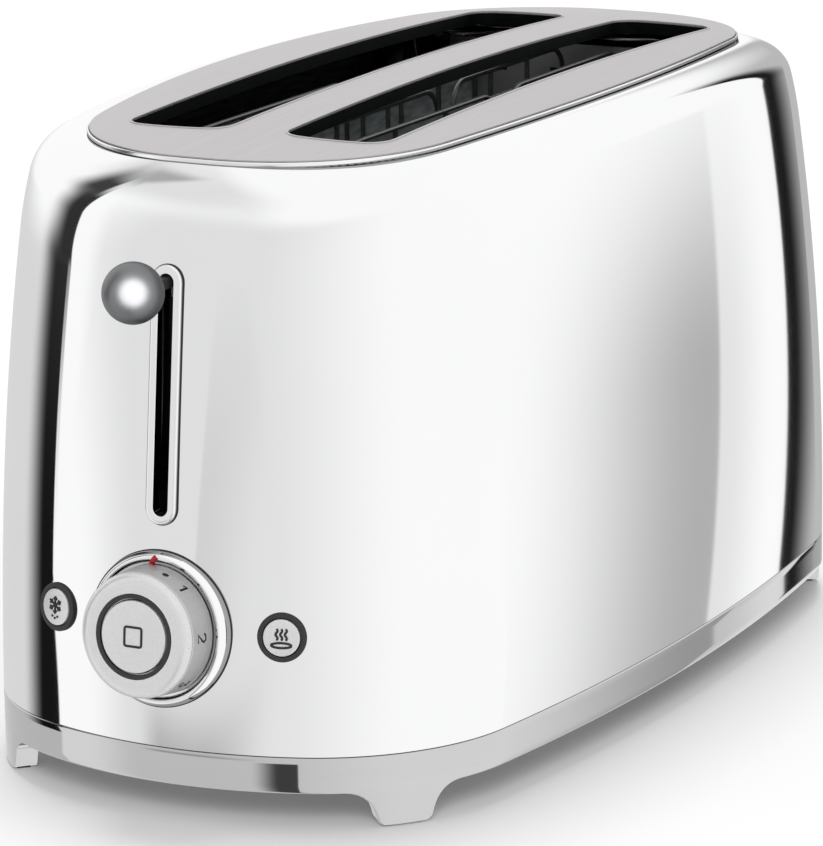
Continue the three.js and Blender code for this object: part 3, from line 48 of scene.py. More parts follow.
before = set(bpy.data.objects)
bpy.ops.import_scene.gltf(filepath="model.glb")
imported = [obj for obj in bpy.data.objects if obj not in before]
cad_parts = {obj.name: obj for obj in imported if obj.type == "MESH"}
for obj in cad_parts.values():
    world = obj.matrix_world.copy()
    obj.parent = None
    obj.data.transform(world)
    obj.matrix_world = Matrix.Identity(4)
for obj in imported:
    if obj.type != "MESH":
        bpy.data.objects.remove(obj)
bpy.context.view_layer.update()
BAND_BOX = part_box("base_band")
SHIFT = np.array([(BAND_BOX[0].x + BAND_BOX[1].x) / 2, 0.0, 0.0])
SEAT = 0.0003
SIDES = (-1, 1)
CORNERS = range(1, 5)
ROUND = 96
SMALL_ROUND = 48
TINY = 1e-9
SAME_POINT = 2e-6
FINE_BUMP = 0.00005
NOISE_DETAIL = 3.0
SHADE_ENDS = (0.3, 0.7)


# Sizes and colours


def length(name, default, description):
    """A length in metres for a property group."""
    return bpy.props.FloatProperty(
        name=name, description=description, default=default, unit="LENGTH", precision=5
    )


def angle(name, degrees, description):
    """An angle for a property group, given in degrees."""
    return bpy.props.FloatProperty(
        name=name, description=description, default=math.radians(degrees), unit="ROTATION"
    )


def number(name, default, description):
    """A plain number for a property group."""
    return bpy.props.FloatProperty(name=name, description=description, default=default)


def colour(name, default, description):
    """A colour for a property group."""
    return bpy.props.FloatVectorProperty(
        name=name, description=description, default=default, size=3, subtype="COLOR", min=0, max=1
    )


class ToasterShell(bpy.types.PropertyGroup):
    """Sizes of the polished shell."""

    x: length("Half length", 0.1923, "Half the length of the body at the base band")
    y: length("Half width", 0.1, "Half the width of the body at the base band")
    side: length("Side radius", 0.946, "Plan radius of the long sides")
    end: length("End radius", 0.1303, "Plan radius of the ends")
    corner: length("Corner radius", 0.0706, "Plan radius of the corners")
    foot: length("Foot level", 0.0244, "Height of the shell's lower edge")
    wall: length("Wall", 0.0012, "Thickness of the sheet")
    end_draw: length("End draw", 0.0313, "How far each end draws in to the mouth")
    end_lean: angle("End lean", 4.6, "Lean of the ends at the foot")
    end_bow: length("End bow", 6.0, "Radius of the ends' slight bow")
    end_shoulder: length("End shoulder", 0.05, "Radius of the ends' shoulder")
    side_draw: length("Side draw", 0.0256, "How far each side draws in to the mouth")
    side_lean: angle("Side lean", -1.5, "Lean of the sides at the foot")
    side_bow: length("Side bow", 1.16, "Radius of the sides' slight bow")
    side_shoulder: length("Side shoulder", 0.012, "Radius of the sides' shoulder")
    mouth_side: length("Mouth side radius", 0.6584, "Plan radius of the mouth's long sides")
    mouth_end: length("Mouth end radius", 0.3984, "Plan radius of the mouth's ends")
    mouth_corner: length("Mouth corner radius", 0.0604, "Plan radius of the mouth's corners")


class ToasterTop(bpy.types.PropertyGroup):
    """Sizes of the slotted plate and the trim ring round it."""

    height: length("Height", 0.215, "Height of the toaster at the middle of its top")
    end_drop: length("End drop", 0.0047, "Fall of the crowned top to its ends")
    side_drop: length("Side drop", 0.0013, "Fall of the crowned top to its sides")
    thickness: length("Plate thickness", 0.0016, "Thickness of the slotted plate")
    margin: length("Trim margin", 0.0008, "Width of trim that shows round the plate")
    trim_height: length("Trim height", 0.0024, "Height of the trim under the plate")
    trim_lip: length("Trim lip", 0.0005, "Drop of the trim below the plate's top")
    trim_face: length("Trim face", 0.0019, "Drop of the lower edge of the trim's outer face")
    trim_flange: length("Trim flange", 0.008, "Reach of the trim under the plate")
    slot_x: length("Slot half length", 0.1294, "Half the length of a slot")
    slot_y: length("Slot half width", 0.0191, "Half the width of a slot")
    slot_end: length("Slot end radius", 0.08, "Plan radius of a slot's ends")
    slot_corner: length("Slot corner radius", 0.0085, "Plan radius of a slot's corners")
    slot_side: length("Slot side radius", 20.0, "Plan radius of a slot's straight sides")
    slot_spacing: length("Slot spacing", 0.0586, "Distance between the slots' middles")
    slot_shift: length("Slot shift", 0.0044, "Shift of the slots towards the rear")
    lip_wall: length("Lip wall", 0.0008, "Thickness of a slot's lip")
    lip_depth: length("Lip depth", 0.005, "How far a slot's lip turns down")
    lip_edge: length("Lip edge", 0.0007, "How far down a slot's lip stays bright")
    lip_rise: length("Lip rise", 0.0003, "Rise of a slot's lip above the plate")
    pitch: length("Grid pitch", 0.0015, "Grid pitch of the plate's surface")


class ToasterBand(bpy.types.PropertyGroup):
    """Sizes of the base band, its feet and the front of the crumb tray."""

    bottom: length("Band bottom", 0.0122, "Height of the band's lower edge")
    top: length("Band top", 0.0241, "Height of the band's upper edge")
    wall: length("Band wall", 0.003, "Thickness of the band")
    edge: length("Edge radius", 0.0006, "Rounding of the band's edges")
    foot_top: length("Foot top width", 0.0423, "Width of a foot where it meets the band")
    foot_bottom: length("Foot bottom width", 0.0184, "Width of a foot's sole")
    foot_depth: length("Foot depth", 0.008, "Depth of a foot")
    foot_fillet: length("Foot fillet", 0.009, "Width of the fillet into the band")
    foot_angle: angle("Foot angle", 49.3, "Direction of a foot round its corner")
    sole: length("Sole height", 0.0006, "Height of a foot's metal over the floor")
    tray_width: length("Tray width", 0.116, "Width of the crumb tray")
    tray_start: length("Tray start", -0.118, "Inner end of the crumb tray")
    tray_floor: length("Tray floor", 0.015, "Height of the tray's underside")
    tray_height: length("Tray height", 0.006, "Height of the tray")
    tray_wall: length("Tray wall", 0.001, "Thickness of the tray's sheet")
    grip_radius: length("Grip radius", 0.013, "Radius of the finger notch")
    grip_height: length("Grip height", 0.003, "Height of the finger notch")


class ToasterFront(bpy.types.PropertyGroup):
    """Sizes of the lever, its slot, the dial and the buttons."""

    slot_bottom: length("Bezel bottom", 0.096, "Lowest height of the lever's bezel")
    slot_top: length("Bezel top", 0.179, "Highest height of the lever's bezel")
    bezel_width: length("Bezel width", 0.0112, "Width of the lever's bezel")
    bezel_proud: length("Bezel rise", 0.0013, "Rise of the lever's bezel off the wall")
    opening: length("Slot opening", 0.0053, "Width of the lever's slot")
    rim: length("Slot rim", 0.0026, "Length of bezel past each end of the slot")
    neck_wall: length("Neck wall", 0.0014, "Wall of the bezel's neck through the shell")
    neck_depth: length("Neck depth", 0.0034, "Depth of the bezel's neck")
    ball: length("Ball radius", 0.0099, "Radius of the lever's ball")
    ball_x: length("Ball place", -0.1998, "Place of the ball's middle along the body")
    ball_z: length("Ball height", 0.174, "Height of the ball")
    ball_flat: length("Ball flat", 0.0076, "Distance from the ball's middle to its flat")
    collar: length("Collar radius", 0.004, "Radius of the lever's collar")
    collar_neck: length("Collar neck", 0.0029, "Radius of the collar where it leaves the slot")
    collar_length: length("Collar length", 0.0022, "Length of the lever's collar")
    dial_z: length("Dial height", 0.0626, "Height of the dial")
    ring: length("Ring radius", 0.0253, "Outer radius of the dial's ring")
    bead: length("Ring bead", 0.0032, "Rise of the ring's bead off the wall")
    ring_inner: length("Ring inner radius", 0.022, "Radius of the dish in the ring")
    dish: length("Dish floor", 0.0017, "Rise of the dish's floor off the wall")
    hole: length("Hub hole", 0.0074, "Radius of the hole for the knob's hub")
    skirt: length("Skirt radius", 0.021, "Radius of the knob's skirt")
    skirt_start: length("Skirt start", 0.0022, "Rise of the knob's lower edge")
    knob: length("Knob radius", 0.0202, "Radius of the knob's side")
    proud: length("Knob rise", 0.016, "Rise of the knob's face off the wall")
    bevel: length("Bevel width", 0.003, "Width of the knob's bevel")
    bevel_depth: length("Bevel depth", 0.0022, "Depth of the knob's bevel")
    inlay: length("Inlay radius", 0.0137, "Outer radius of the black inlay")
    inlay_inner: length("Inlay inner radius", 0.0123, "Inner radius of the black inlay")
    inlay_depth: length("Inlay depth", 0.001, "Depth of the black inlay")
    well: length("Well depth", 0.006, "Depth of the well of the stop button")
    knob_wall: length("Knob wall", 0.0018, "Wall of the knob")
    hub: length("Hub radius", 0.006, "Radius of the knob's hub")
    hub_bore: length("Hub bore", 0.0033, "Bore of the knob's hub")
    hub_depth: length("Hub depth", 0.012, "Depth of the knob's hub")
    stop: length("Stop radius", 0.0117, "Radius of the stop button")
    stop_height: length("Stop height", 0.0036, "Height of the stop button's cap")
    stem: length("Stem radius", 0.0028, "Radius of the stop button's stem")
    stem_depth: length("Stem depth", 0.0134, "Depth of the stop button's stem")
    button_z: length("Button height", 0.0632, "Height of the side buttons")
    button_spacing: length("Button spacing", 0.0828, "Distance between the side buttons")
    button_ring: length("Button ring radius", 0.008, "Outer radius of a button's ring")
    button_bore: length("Button bore", 0.0063, "Bore of a button's ring")
    button_neck: length("Button neck", 0.0072, "Radius of the ring's neck through the shell")
    button: length("Button radius", 0.006, "Radius of a side button")
    button_depth: length("Button depth", 0.008, "Depth of a side button")


class ToasterGuides(bpy.types.PropertyGroup):
    """Sizes of the wire guides that centre the bread."""

    wire: length("Wire diameter", 0.0018, "Diameter of the guides' wire")
    outer: length("Outer spacing", 0.095, "Distance between the outer guides")
    inner: length("Inner spacing", 0.0224, "Distance between the inner guides")
    bottom: length("Guide bottom", 0.034, "Lower end of the hoops")
    top: length("Guide top", 0.202, "Top of the hoops")
    rail_top: length("Upper rail", 0.19, "Height of the upper rail")
    rail_bottom: length("Lower rail", 0.046, "Height of the lower rail")
    front: length("Front end", -0.11945, "Where the hoops start")
    rear: length("Rear end", 0.12795, "Where the hoops end")
    reach: length("Rail reach", 0.0105, "How far the rails pass the hoops")
    corner: length("Corner radius", 0.009, "Bend radius of the hoops")
    gap: length("Hoop gap", 0.012, "Gap between the two hoops")
    pitch: length("Upright pitch", 0.038, "Widest distance between uprights")
    split: number("Split", 0.62, "Share of the length at which the hoops part")


class ToasterFinish(bpy.types.PropertyGroup):
    """Colours of the finishes."""

    chrome: colour("Chrome", (0.955, 0.957, 0.962), "Polished shell and trim")
    brushed: colour("Brushed top", (0.605, 0.585, 0.59), "Brushed plate")
    band: colour("Band", (0.63, 0.63, 0.635), "Satin base band")
    satin: colour("Satin", (0.76, 0.76, 0.765), "Knob and buttons")
    steel: colour("Sheet steel", (0.3, 0.3, 0.31), "Sheet steel inside")
    wire: colour("Wire", (0.62, 0.62, 0.63), "Bright wire")
    # Painted shade: the guides' wire is bright, and this dark grey stands in for the dim light deep in the
    # slots, not for heat
    guide: colour("Guide wire", (0.2, 0.2, 0.2), "Wire of the bread guides, dulled by heat")
    # Painted shade: the ball is chrome like its collar, coloured dark here for the darker surroundings it
    # reflects
    ball: colour("Ball", (0.2, 0.202, 0.208), "Ball of the lever")
    black: colour("Black plastic", (0.025, 0.025, 0.027), "Rings, gland and switches")
    rubber: colour("Rubber", (0.02, 0.02, 0.02), "Pads under the feet")
    liner: colour("Dark liner", (0.34, 0.37, 0.375), "Heater boards and reflectors in the wells")
    # Painted shade: the lips are the plate's metal turned down, coloured near-black below their bright edge
    # for the darkness deep in the slots
    lining: colour("Slot lining", (0.012, 0.015, 0.015), "Turned-down lips of the slots")
    board: colour("Circuit board", (0.03, 0.12, 0.05), "Control board")
    copper: colour("Winding", (0.2, 0.06, 0.025), "Coil of the holding magnet")
    ink: colour("Print", (0.012, 0.012, 0.014), "Numbers and symbols")
    index: colour("Index", (0.52, 0.012, 0.018), "Red index of the dial")
    floor: colour("Floor", (0.95, 0.95, 0.95), "Studio floor")


class ToasterStudio(bpy.types.PropertyGroup):
    """Camera and light."""

    azimuth: angle("Camera azimuth", -61.9847, "Direction of the camera round the toaster")
    elevation: angle("Camera elevation", 13.7216, "Height of the camera over the horizon")
    roll: angle("Camera roll", -0.7346, "Turn of the camera about its view")
    place: bpy.props.FloatVectorProperty(
        name="Camera place",
        description="Where the camera stands",
        default=(-1.474889, -0.776978, 0.499259),
        size=3,
        subtype="TRANSLATION",
        precision=6,
    )
    focal: number("Focal length", 209.55, "Focal length in millimetres on a 36 mm sensor")
    shift_x: number("Shift across", 0.01274, "Sideways shift of the frame")
    shift_y: number("Shift up", -0.00765, "Upward shift of the frame")
    veil: number("Floor veil", 0.1, "Share of plain white in the floor, which lightens the shadow")
    sky: number("Sky level", 0.52, "Strength of the plain white surroundings")
    echo: number("Second reflection", 0.4, "Share of the surroundings that a second reflection shows")
    key: number("Key light", 1.3, "Strength of the soft light from over the toaster")
    fill: number("Fill light", 1.1, "Strength of the soft light from the camera's side")
    spread: angle("Light spread", 24.0, "Width of the soft lights in the sky")
    glow: number("Ball lamp", 78.0, "Power in watts of the soft lamp that only lights the ball")
    glow_size: length("Ball lamp size", 2.5, "Width of the lamp that only lights the ball")


GROUPS = {
    "toaster_shell": ToasterShell,
    "toaster_top": ToasterTop,
    "toaster_band": ToasterBand,
    "toaster_front": ToasterFront,
    "toaster_guides": ToasterGuides,
    "toaster_finish": ToasterFinish,
    "toaster_studio": ToasterStudio,
}


# Curves and grids


def soft_corners(points, radii, steps=6):
    """A profile with its corners rounded: each corner becomes a parabola whose ends lie a radius away on the
    two lines that meet there. A radius of zero keeps the corner."""
    points = np.asarray(points, float)
    share = np.linspace(0, 1, steps)[:, None]
    made = []
    for i, (corner, radius) in enumerate(zip(points, radii)):
        if radius == 0:
            made.append(corner[None])
            continue
        before, after = points[i - 1], points[(i + 1) % len(points)]
        start = corner + (before - corner) * radius / np.linalg.norm(before - corner)
        finish = corner + (after - corner) * radius / np.linalg.norm(after - corner)
        made.append((1 - share) ** 2 * start + 2 * share * (1 - share) * corner + share**2 * finish)
    return np.concatenate(made)


def quadratic(start, control, finish, steps):
    """A parabola from start to finish that leaves and arrives towards its control point."""
    share = np.linspace(0, 1, steps)[:, None]
    start, control, finish = (np.asarray(point, float) for point in (start, control, finish))
    return (1 - share) ** 2 * start + 2 * share * (1 - share) * control + share**2 * finish


def grid_faces(rows, columns, wrap_rows=False, wrap_columns=False):
    """The four-cornered faces of a grid of points, as point numbers."""
    row = np.arange(rows if wrap_rows else rows - 1)[:, None]
    column = np.arange(columns if wrap_columns else columns - 1)[None]
    next_row, next_column = (row + 1) % rows, (column + 1) % columns
    corners = np.broadcast_arrays(
        row * columns + column,
        row * columns + next_column,
        next_row * columns + next_column,
        next_row * columns + column,
    )
    return np.stack(corners, axis=-1)


def loop_surface(points, wrap_rows=True, wrap_columns=True):
    """A surface on a grid of points that closes on itself in one or both directions."""
    rows, columns = points.shape[:2]
    faces = grid_faces(rows, columns, wrap_rows, wrap_columns)
    return points.reshape(-1, 3), faces.reshape(-1, 4)


def sheet_surface(outer, inner, kept=None, wrap=False):
    """A wall between two like grids, with a rim along every edge: each edge of the outer faces that no other
    face shares is joined to the same edge of the inner grid."""
    rows, columns = outer.shape[:2]
    faces = grid_faces(rows, columns, wrap_columns=wrap)
    faces = faces[kept] if kept is not None else faces.reshape(-1, 4)
    count = rows * columns
    starts, ends = faces.reshape(-1), np.roll(faces, -1, axis=1).reshape(-1)
    free = ~np.isin(starts * count + ends, ends * count + starts)
    rims = np.stack([ends, starts, starts + count, ends + count], axis=-1)[free]
    points = np.concatenate([outer.reshape(-1, 3), inner.reshape(-1, 3)])
    return points, np.concatenate([faces, faces[:, ::-1] + count, rims])


def box_surface(low, high):
    """A box between two corners."""
    low, high = np.asarray(low, float), np.asarray(high, float)
    corners = np.array([[low[0], low[1]], [high[0], low[1]], [high[0], high[1]], [low[0], high[1]]])
    level = np.ones((4, 1))
    lower = np.hstack([corners, low[2] * level])
    upper = np.hstack([corners, high[2] * level])
    sides = grid_faces(2, 4, wrap_columns=True).reshape(-1, 4)
    return np.concatenate([lower, upper]), np.vstack([sides, [[3, 2, 1, 0], [4, 5, 6, 7]]])


def turned(profile, sides=ROUND):
    """A profile of radius and height pairs turned about the z axis, in its own frame."""
    turn = np.linspace(0, 2 * np.pi, sides, endpoint=False)
    radius, height = profile[:, 0, None], profile[:, 1, None]
    grid = np.stack(
        np.broadcast_arrays(radius * np.cos(turn), radius * np.sin(turn), height), axis=-1
    )
    open_ends = abs(profile[0, 0]) < TINY and abs(profile[-1, 0]) < TINY
    return loop_surface(grid, wrap_rows=not open_ends)


def tube(path, radius, side, sides=10):
    """A round section carried along a path. Each section stands square to the path, its first axis square to
    `side` too, and the ends close in their middles."""
    path = np.asarray(path, float)
    along = np.gradient(path, axis=0)
    along /= np.linalg.norm(along, axis=1, keepdims=True)
    across = np.cross(np.asarray(side, float), along)
    across /= np.linalg.norm(across, axis=1, keepdims=True)
    upward = np.cross(along, across)
    turn = np.linspace(0, 2 * np.pi, sides, endpoint=False)[None, :, None]
    rings = path[:, None] + radius * (across[:, None] * np.cos(turn) + upward[:, None] * np.sin(turn))
    start = np.repeat(path[:1, None], sides, axis=1)
    finish = np.repeat(path[-1:, None], sides, axis=1)
    return loop_surface(np.concatenate([start, rings, finish]), wrap_rows=False)


# Plan outlines


def plan(x, y, side, end, corner):
    """A plan outline: an end arc, a corner arc and a side arc in each quarter, tangent to each other."""
    return {"x": x, "y": y, "side": side, "end": end, "corner": corner}


def tangent_arcs(form):
    """Centres and joint angles of an outline's arcs. The corner arc's centre is where two circles meet, round
    the centres of the end and side arcs, whose radii are the differences of the arcs' radii."""
    end_x = form["x"] - form["end"]
    side_y = form["y"] - form["side"]
    span = np.hypot(end_x, side_y)
    line_x, line_y = -end_x / span, side_y / span
    end_gap, side_gap = form["end"] - form["corner"], form["side"] - form["corner"]
    along = (end_gap**2 - side_gap**2 + span**2) / (2 * span)
    off = np.sqrt(end_gap**2 - along**2)
    corner_x = end_x + line_x * along - line_y * off
    corner_y = line_y * along + line_x * off
    first = np.arctan2(corner_y, corner_x - end_x)
    second = np.arctan2(corner_y - side_y, corner_x)
    return end_x, side_y, corner_x, corner_y, first, second


def outline(form, turn, inset=0.0):
    """The point of an outline whose normal has the angle `turn`, moved inwards along that normal."""
    end_x, side_y, corner_x, corner_y, first, second = tangent_arcs(form)
    cosine, sine = np.abs(np.cos(turn)), np.abs(np.sin(turn))
    fold = np.arctan2(sine, cosine)
    on_end, on_side = fold < first, fold > second
    radius = np.where(on_end, form["end"], np.where(on_side, form["side"], form["corner"])) - inset
    x = np.where(on_end, end_x, np.where(on_side, 0.0, corner_x)) + radius * cosine
    y = np.where(on_end, 0.0, np.where(on_side, side_y, corner_y)) + radius * sine
    return np.copysign(x, np.cos(turn)), np.copysign(y, np.sin(turn))


def outline_gap(form, x, y):
    """Distance of points outside an outline, negative inside, and the normal there: the distance to the
    circle of the arc in whose sector the point lies."""
    end_x, side_y, corner_x, corner_y, first, second = tangent_arcs(form)
    fold_x, fold_y = np.abs(x), np.abs(y)
    on_end = np.arctan2(fold_y, fold_x - end_x) < first
    on_side = np.arctan2(fold_y - side_y, fold_x) > second
    radius = np.where(on_end, form["end"], np.where(on_side, form["side"], form["corner"]))
    away_x = fold_x - np.where(on_end, end_x, np.where(on_side, 0.0, corner_x))
    away_y = fold_y - np.where(on_end, 0.0, np.where(on_side, side_y, corner_y))
    span = np.hypot(away_x, away_y)
    return span - radius, np.copysign(away_x / span, x), np.copysign(away_y / span, y)


def quarter_turns(form, counts, ease=1.0):
    """Normal angles round an outline, with so many steps on the end, corner and side arc of each quarter. An
    ease above one draws the steps of an end arc towards its middle."""
    *_, first, second = tangent_arcs(form)
    first, second = np.asarray(first)[..., None], np.asarray(second)[..., None]
    shares = [np.arange(count) / count for count in counts]
    quarter = np.concatenate(
        [
            first * shares[0] ** ease,
            first + (second - first) * shares[1],
            second + (np.pi / 2 - second) * shares[2],
        ],
        axis=-1,
    )
    top = np.full(quarter[..., :1].shape, np.pi / 2)
    upper = np.concatenate([quarter, top], axis=-1)
    half = np.concatenate([upper, np.pi - quarter[..., :0:-1]], axis=-1)
    return np.concatenate([half, half + np.pi], axis=-1)


def length_turns(form, places):
    """Normal angles at distances along an outline: each arc turns in step with its length."""
    *_, first, second = tangent_arcs(form)
    ends = np.cumsum(
        [0, form["end"] * first, form["corner"] * (second - first), form["side"] * (np.pi / 2 - second)]
    )
    quadrant, along = np.divmod(places, ends[-1])
    odd = quadrant % 2 == 1
    turn = np.interp(np.where(odd, ends[-1] - along, along), ends, [0, first, second, np.pi / 2])
    return (quadrant + odd) * np.pi / 2 + np.where(odd, -turn, turn), ends


def carried(form, turns, profile, height):
    """A closed profile of inset and drop pairs carried round an outline, hung from a height at each point."""
    x, y = outline(form, turns[None], profile[:, 0, None])
    return np.stack([x, y, height(x, y) - profile[:, 1, None]], axis=-1)


# Shell geometry


class WallProfile:
    """A wall seen in section: a gently bowed arc from the foot, then a shoulder arc that ends `draw` in and
    `rise` up. Places on it are shares of its length."""

    def __init__(self, lean, bow, shoulder, draw, rise):
        self.lean, self.bow, self.shoulder = lean, bow, shoulder
        self.bow_centre = np.array([bow * math.cos(lean), -bow * math.sin(lean)])
        line = np.array([draw, rise]) - self.bow_centre
        span = np.linalg.norm(line)
        line /= span
        reach = bow - shoulder
        along = (reach**2 - shoulder**2 + span**2) / (2 * span)
        off = math.sqrt(max(reach**2 - along**2, 0))
        across = np.array([-line[1], line[0]])
        choices = [self.bow_centre + line * along + across * sign * off for sign in SIDES]
        self.centre = min(choices, key=lambda point: point[1])
        self.turn = math.asin((self.centre[1] - self.bow_centre[1]) / reach)
        end = math.atan2(rise - self.centre[1], self.centre[0] - draw)
        self.bow_length = bow * (self.turn - lean)
        self.length = self.bow_length + shoulder * (end - self.turn)

    def at(self, share, wall=0.0):
        """Inset, height and lean of the wall at a share of its length."""
        run = np.asarray(share) * self.length
        low = run < self.bow_length
        lean = np.where(low, self.lean + run / self.bow, self.turn + (run - self.bow_length) / self.shoulder)
        radius = np.where(low, self.bow, self.shoulder) - wall
        centre_in = np.where(low, self.bow_centre[0], self.centre[0])
        centre_up = np.where(low, self.bow_centre[1], self.centre[1])
        return centre_in - radius * np.cos(lean), centre_up + radius * np.sin(lean), lean

    def share_at(self, height):
        """The share at which the wall below its shoulder reaches a height."""
        lean = math.asin((height - self.bow_centre[1]) / self.bow)
        return self.bow * (lean - self.lean) / self.length


class Toaster:
    """The sizes of the scene's property groups and the shapes that several pieces share."""

    def __init__(self, scene):
        self.shell, self.top, self.band = scene.toaster_shell, scene.toaster_top, scene.toaster_band
        self.front, self.guides = scene.toaster_front, scene.toaster_guides
        shell, top = self.shell, self.top
        self.body = plan(shell.x, shell.y, shell.side, shell.end, shell.corner)
        self.mouth = plan(
            shell.x - shell.end_draw,
            shell.y - shell.side_draw,
            shell.mouth_side,
            shell.mouth_end,
            shell.mouth_corner,
        )
        self.slot = plan(top.slot_x, top.slot_y, top.slot_side, top.slot_end, top.slot_corner)
        self.shell_drop = top.trim_face + SEAT
        self.end_rise = self.crown(self.mouth["x"], 0) - self.shell_drop - shell.foot
        self.side_rise = self.crown(0, self.mouth["y"]) - self.shell_drop - shell.foot
        self.end_wall = WallProfile(
            shell.end_lean, shell.end_bow, shell.end_shoulder, shell.end_draw, self.end_rise
        )
        self.side_wall = WallProfile(
            shell.side_lean, shell.side_bow, shell.side_shoulder, shell.side_draw, self.side_rise
        )

    def crown(self, x, y):
        """Height of the crowned top: it falls with the square of the distance from the middle."""
        across = self.mouth["x"] - self.top.margin
        along = self.mouth["y"] - self.top.margin
        return self.top.height - self.top.end_drop * (x / across) ** 2 - self.top.side_drop * (y / along) ** 2

    def shell_form(self, share):
        """The shell's plan outline at a share of its walls, between the base outline and the mouth's."""
        end_inset, side_inset = self.end_wall.at(share)[0], self.side_wall.at(share)[0]
        blend = (end_inset / self.shell.end_draw + side_inset / self.shell.side_draw) / 2
        mixed = {
            key: self.body[key] + (self.mouth[key] - self.body[key]) * blend
            for key in ("side", "end", "corner")
        }
        return plan(self.shell.x - end_inset, self.shell.y - side_inset, **mixed)

    def shell_points(self, shares, turns, wall=0.0):
        """Points of the shell at shares of its walls and normal angles of its outline, moved in through the
        wall. Their height lies between the end profile's and the side profile's, by the square of the
        normal's parts."""
        end_in, end_up, _ = self.end_wall.at(shares, wall)
        side_in, side_up, _ = self.side_wall.at(shares, wall)
        ahead, aside = np.cos(turns), np.sin(turns)
        x, y = outline(self.shell_form(shares), turns)
        rise = self.crown(x, y) - self.shell_drop - self.shell.foot
        level = end_up / self.end_rise * ahead**2 + side_up / self.side_rise * aside**2
        level = np.where(shares == 0, 0, level)
        end_wall, side_wall = end_in - self.end_wall.at(shares)[0], side_in - self.side_wall.at(shares)[0]
        inset = end_wall * ahead**2 + side_wall * aside**2
        return np.stack([x - ahead * inset, y - aside * inset, self.shell.foot + rise * level], axis=-1)

    def shell_slopes(self, shares, turns, step=1e-5):
        """How far the shell's points move with their share and with their angle."""
        by_share = self.shell_points(np.maximum(shares, step) + step, turns) - self.shell_points(
            np.maximum(shares, step) - step, turns
        )
        by_turn = self.shell_points(shares, turns + step) - self.shell_points(shares, turns - step)
        return by_share / (2 * step), by_turn / (2 * step)

    def station(self, y, height):
        """A place on the front wall: its origin, and the axes across the wall, up along it and out of it."""
        share = self.end_wall.share_at(height - self.shell.foot)
        form = self.shell_form(share)
        across = math.asin(y / form["end"])
        lean = float(self.end_wall.at(share)[2])
        level = np.array([-math.cos(across), math.sin(across), 0])
        out = level * math.cos(lean) + np.array([0, 0, math.sin(lean)])
        up = -level * math.sin(lean) + np.array([0, 0, math.cos(lean)])
        centre = form["x"] - form["end"]
        origin = np.array([-(centre + form["end"] * math.cos(across)), y, height])
        return origin, np.stack([np.cross(up, out), up, out])


def at_station(surface, station):
    """A surface made in a station's frame, moved to its place: its points times the axes, from the origin."""
    points, faces = surface
    origin, axes = station
    return origin + points @ axes, faces


def lever_station(toaster):
    """The middle of the lever's bezel, and the bezel's length along the wall."""
    front = toaster.front
    station = toaster.station(0, (front.slot_top + front.slot_bottom) / 2)
    return station, (front.slot_top - front.slot_bottom) / station[1][1][2]


def button_stations(toaster):
    """The middles of the two side buttons, the right one first."""
    front = toaster.front
    return [toaster.station(side * front.button_spacing / 2, front.button_z) for side in SIDES]


# Pieces and finishes


def finish_of(name, base, metallic, roughness, spread, scale, shade, bump=0.0):
    """A finish on Object coordinates: stretched noise varies the colour between the base and a darker shade
    of it and the roughness by `spread`, and may raise a fine bump."""
    material = bpy.data.materials.new(name)
    material.use_nodes = True
    nodes, links = material.node_tree.nodes, material.node_tree.links
    shader = nodes["Principled BSDF"]
    shader.inputs["Metallic"].default_value = metallic
    place = nodes.new("ShaderNodeTexCoord")
    mapping = nodes.new("ShaderNodeMapping")
    mapping.inputs["Scale"].default_value = scale
    noise = nodes.new("ShaderNodeTexNoise")
    noise.inputs["Scale"].default_value = 1.0
    noise.inputs["Detail"].default_value = NOISE_DETAIL
    ramp = nodes.new("ShaderNodeValToRGB")
    for element, position, share in zip(ramp.color_ramp.elements, SHADE_ENDS, (shade, 1)):
        element.position = position
        element.color = (*(share * part for part in base), 1)
    gloss = nodes.new("ShaderNodeMapRange")
    gloss.inputs["To Min"].default_value = max(roughness - spread, 0.0)
    gloss.inputs["To Max"].default_value = roughness + spread
    links.new(place.outputs["Object"], mapping.inputs["Vector"])
    links.new(mapping.outputs["Vector"], noise.inputs["Vector"])
    links.new(noise.outputs["Fac"], ramp.inputs["Fac"])
    links.new(noise.outputs["Fac"], gloss.inputs["Value"])
    links.new(ramp.outputs["Color"], shader.inputs["Base Color"])
    links.new(gloss.outputs["Result"], shader.inputs["Roughness"])
    if bump:
        relief = nodes.new("ShaderNodeBump")
        relief.inputs["Strength"].default_value = bump
        relief.inputs["Distance"].default_value = FINE_BUMP
        links.new(noise.outputs["Fac"], relief.inputs["Height"])
        links.new(relief.outputs["Normal"], shader.inputs["Normal"])
    return material


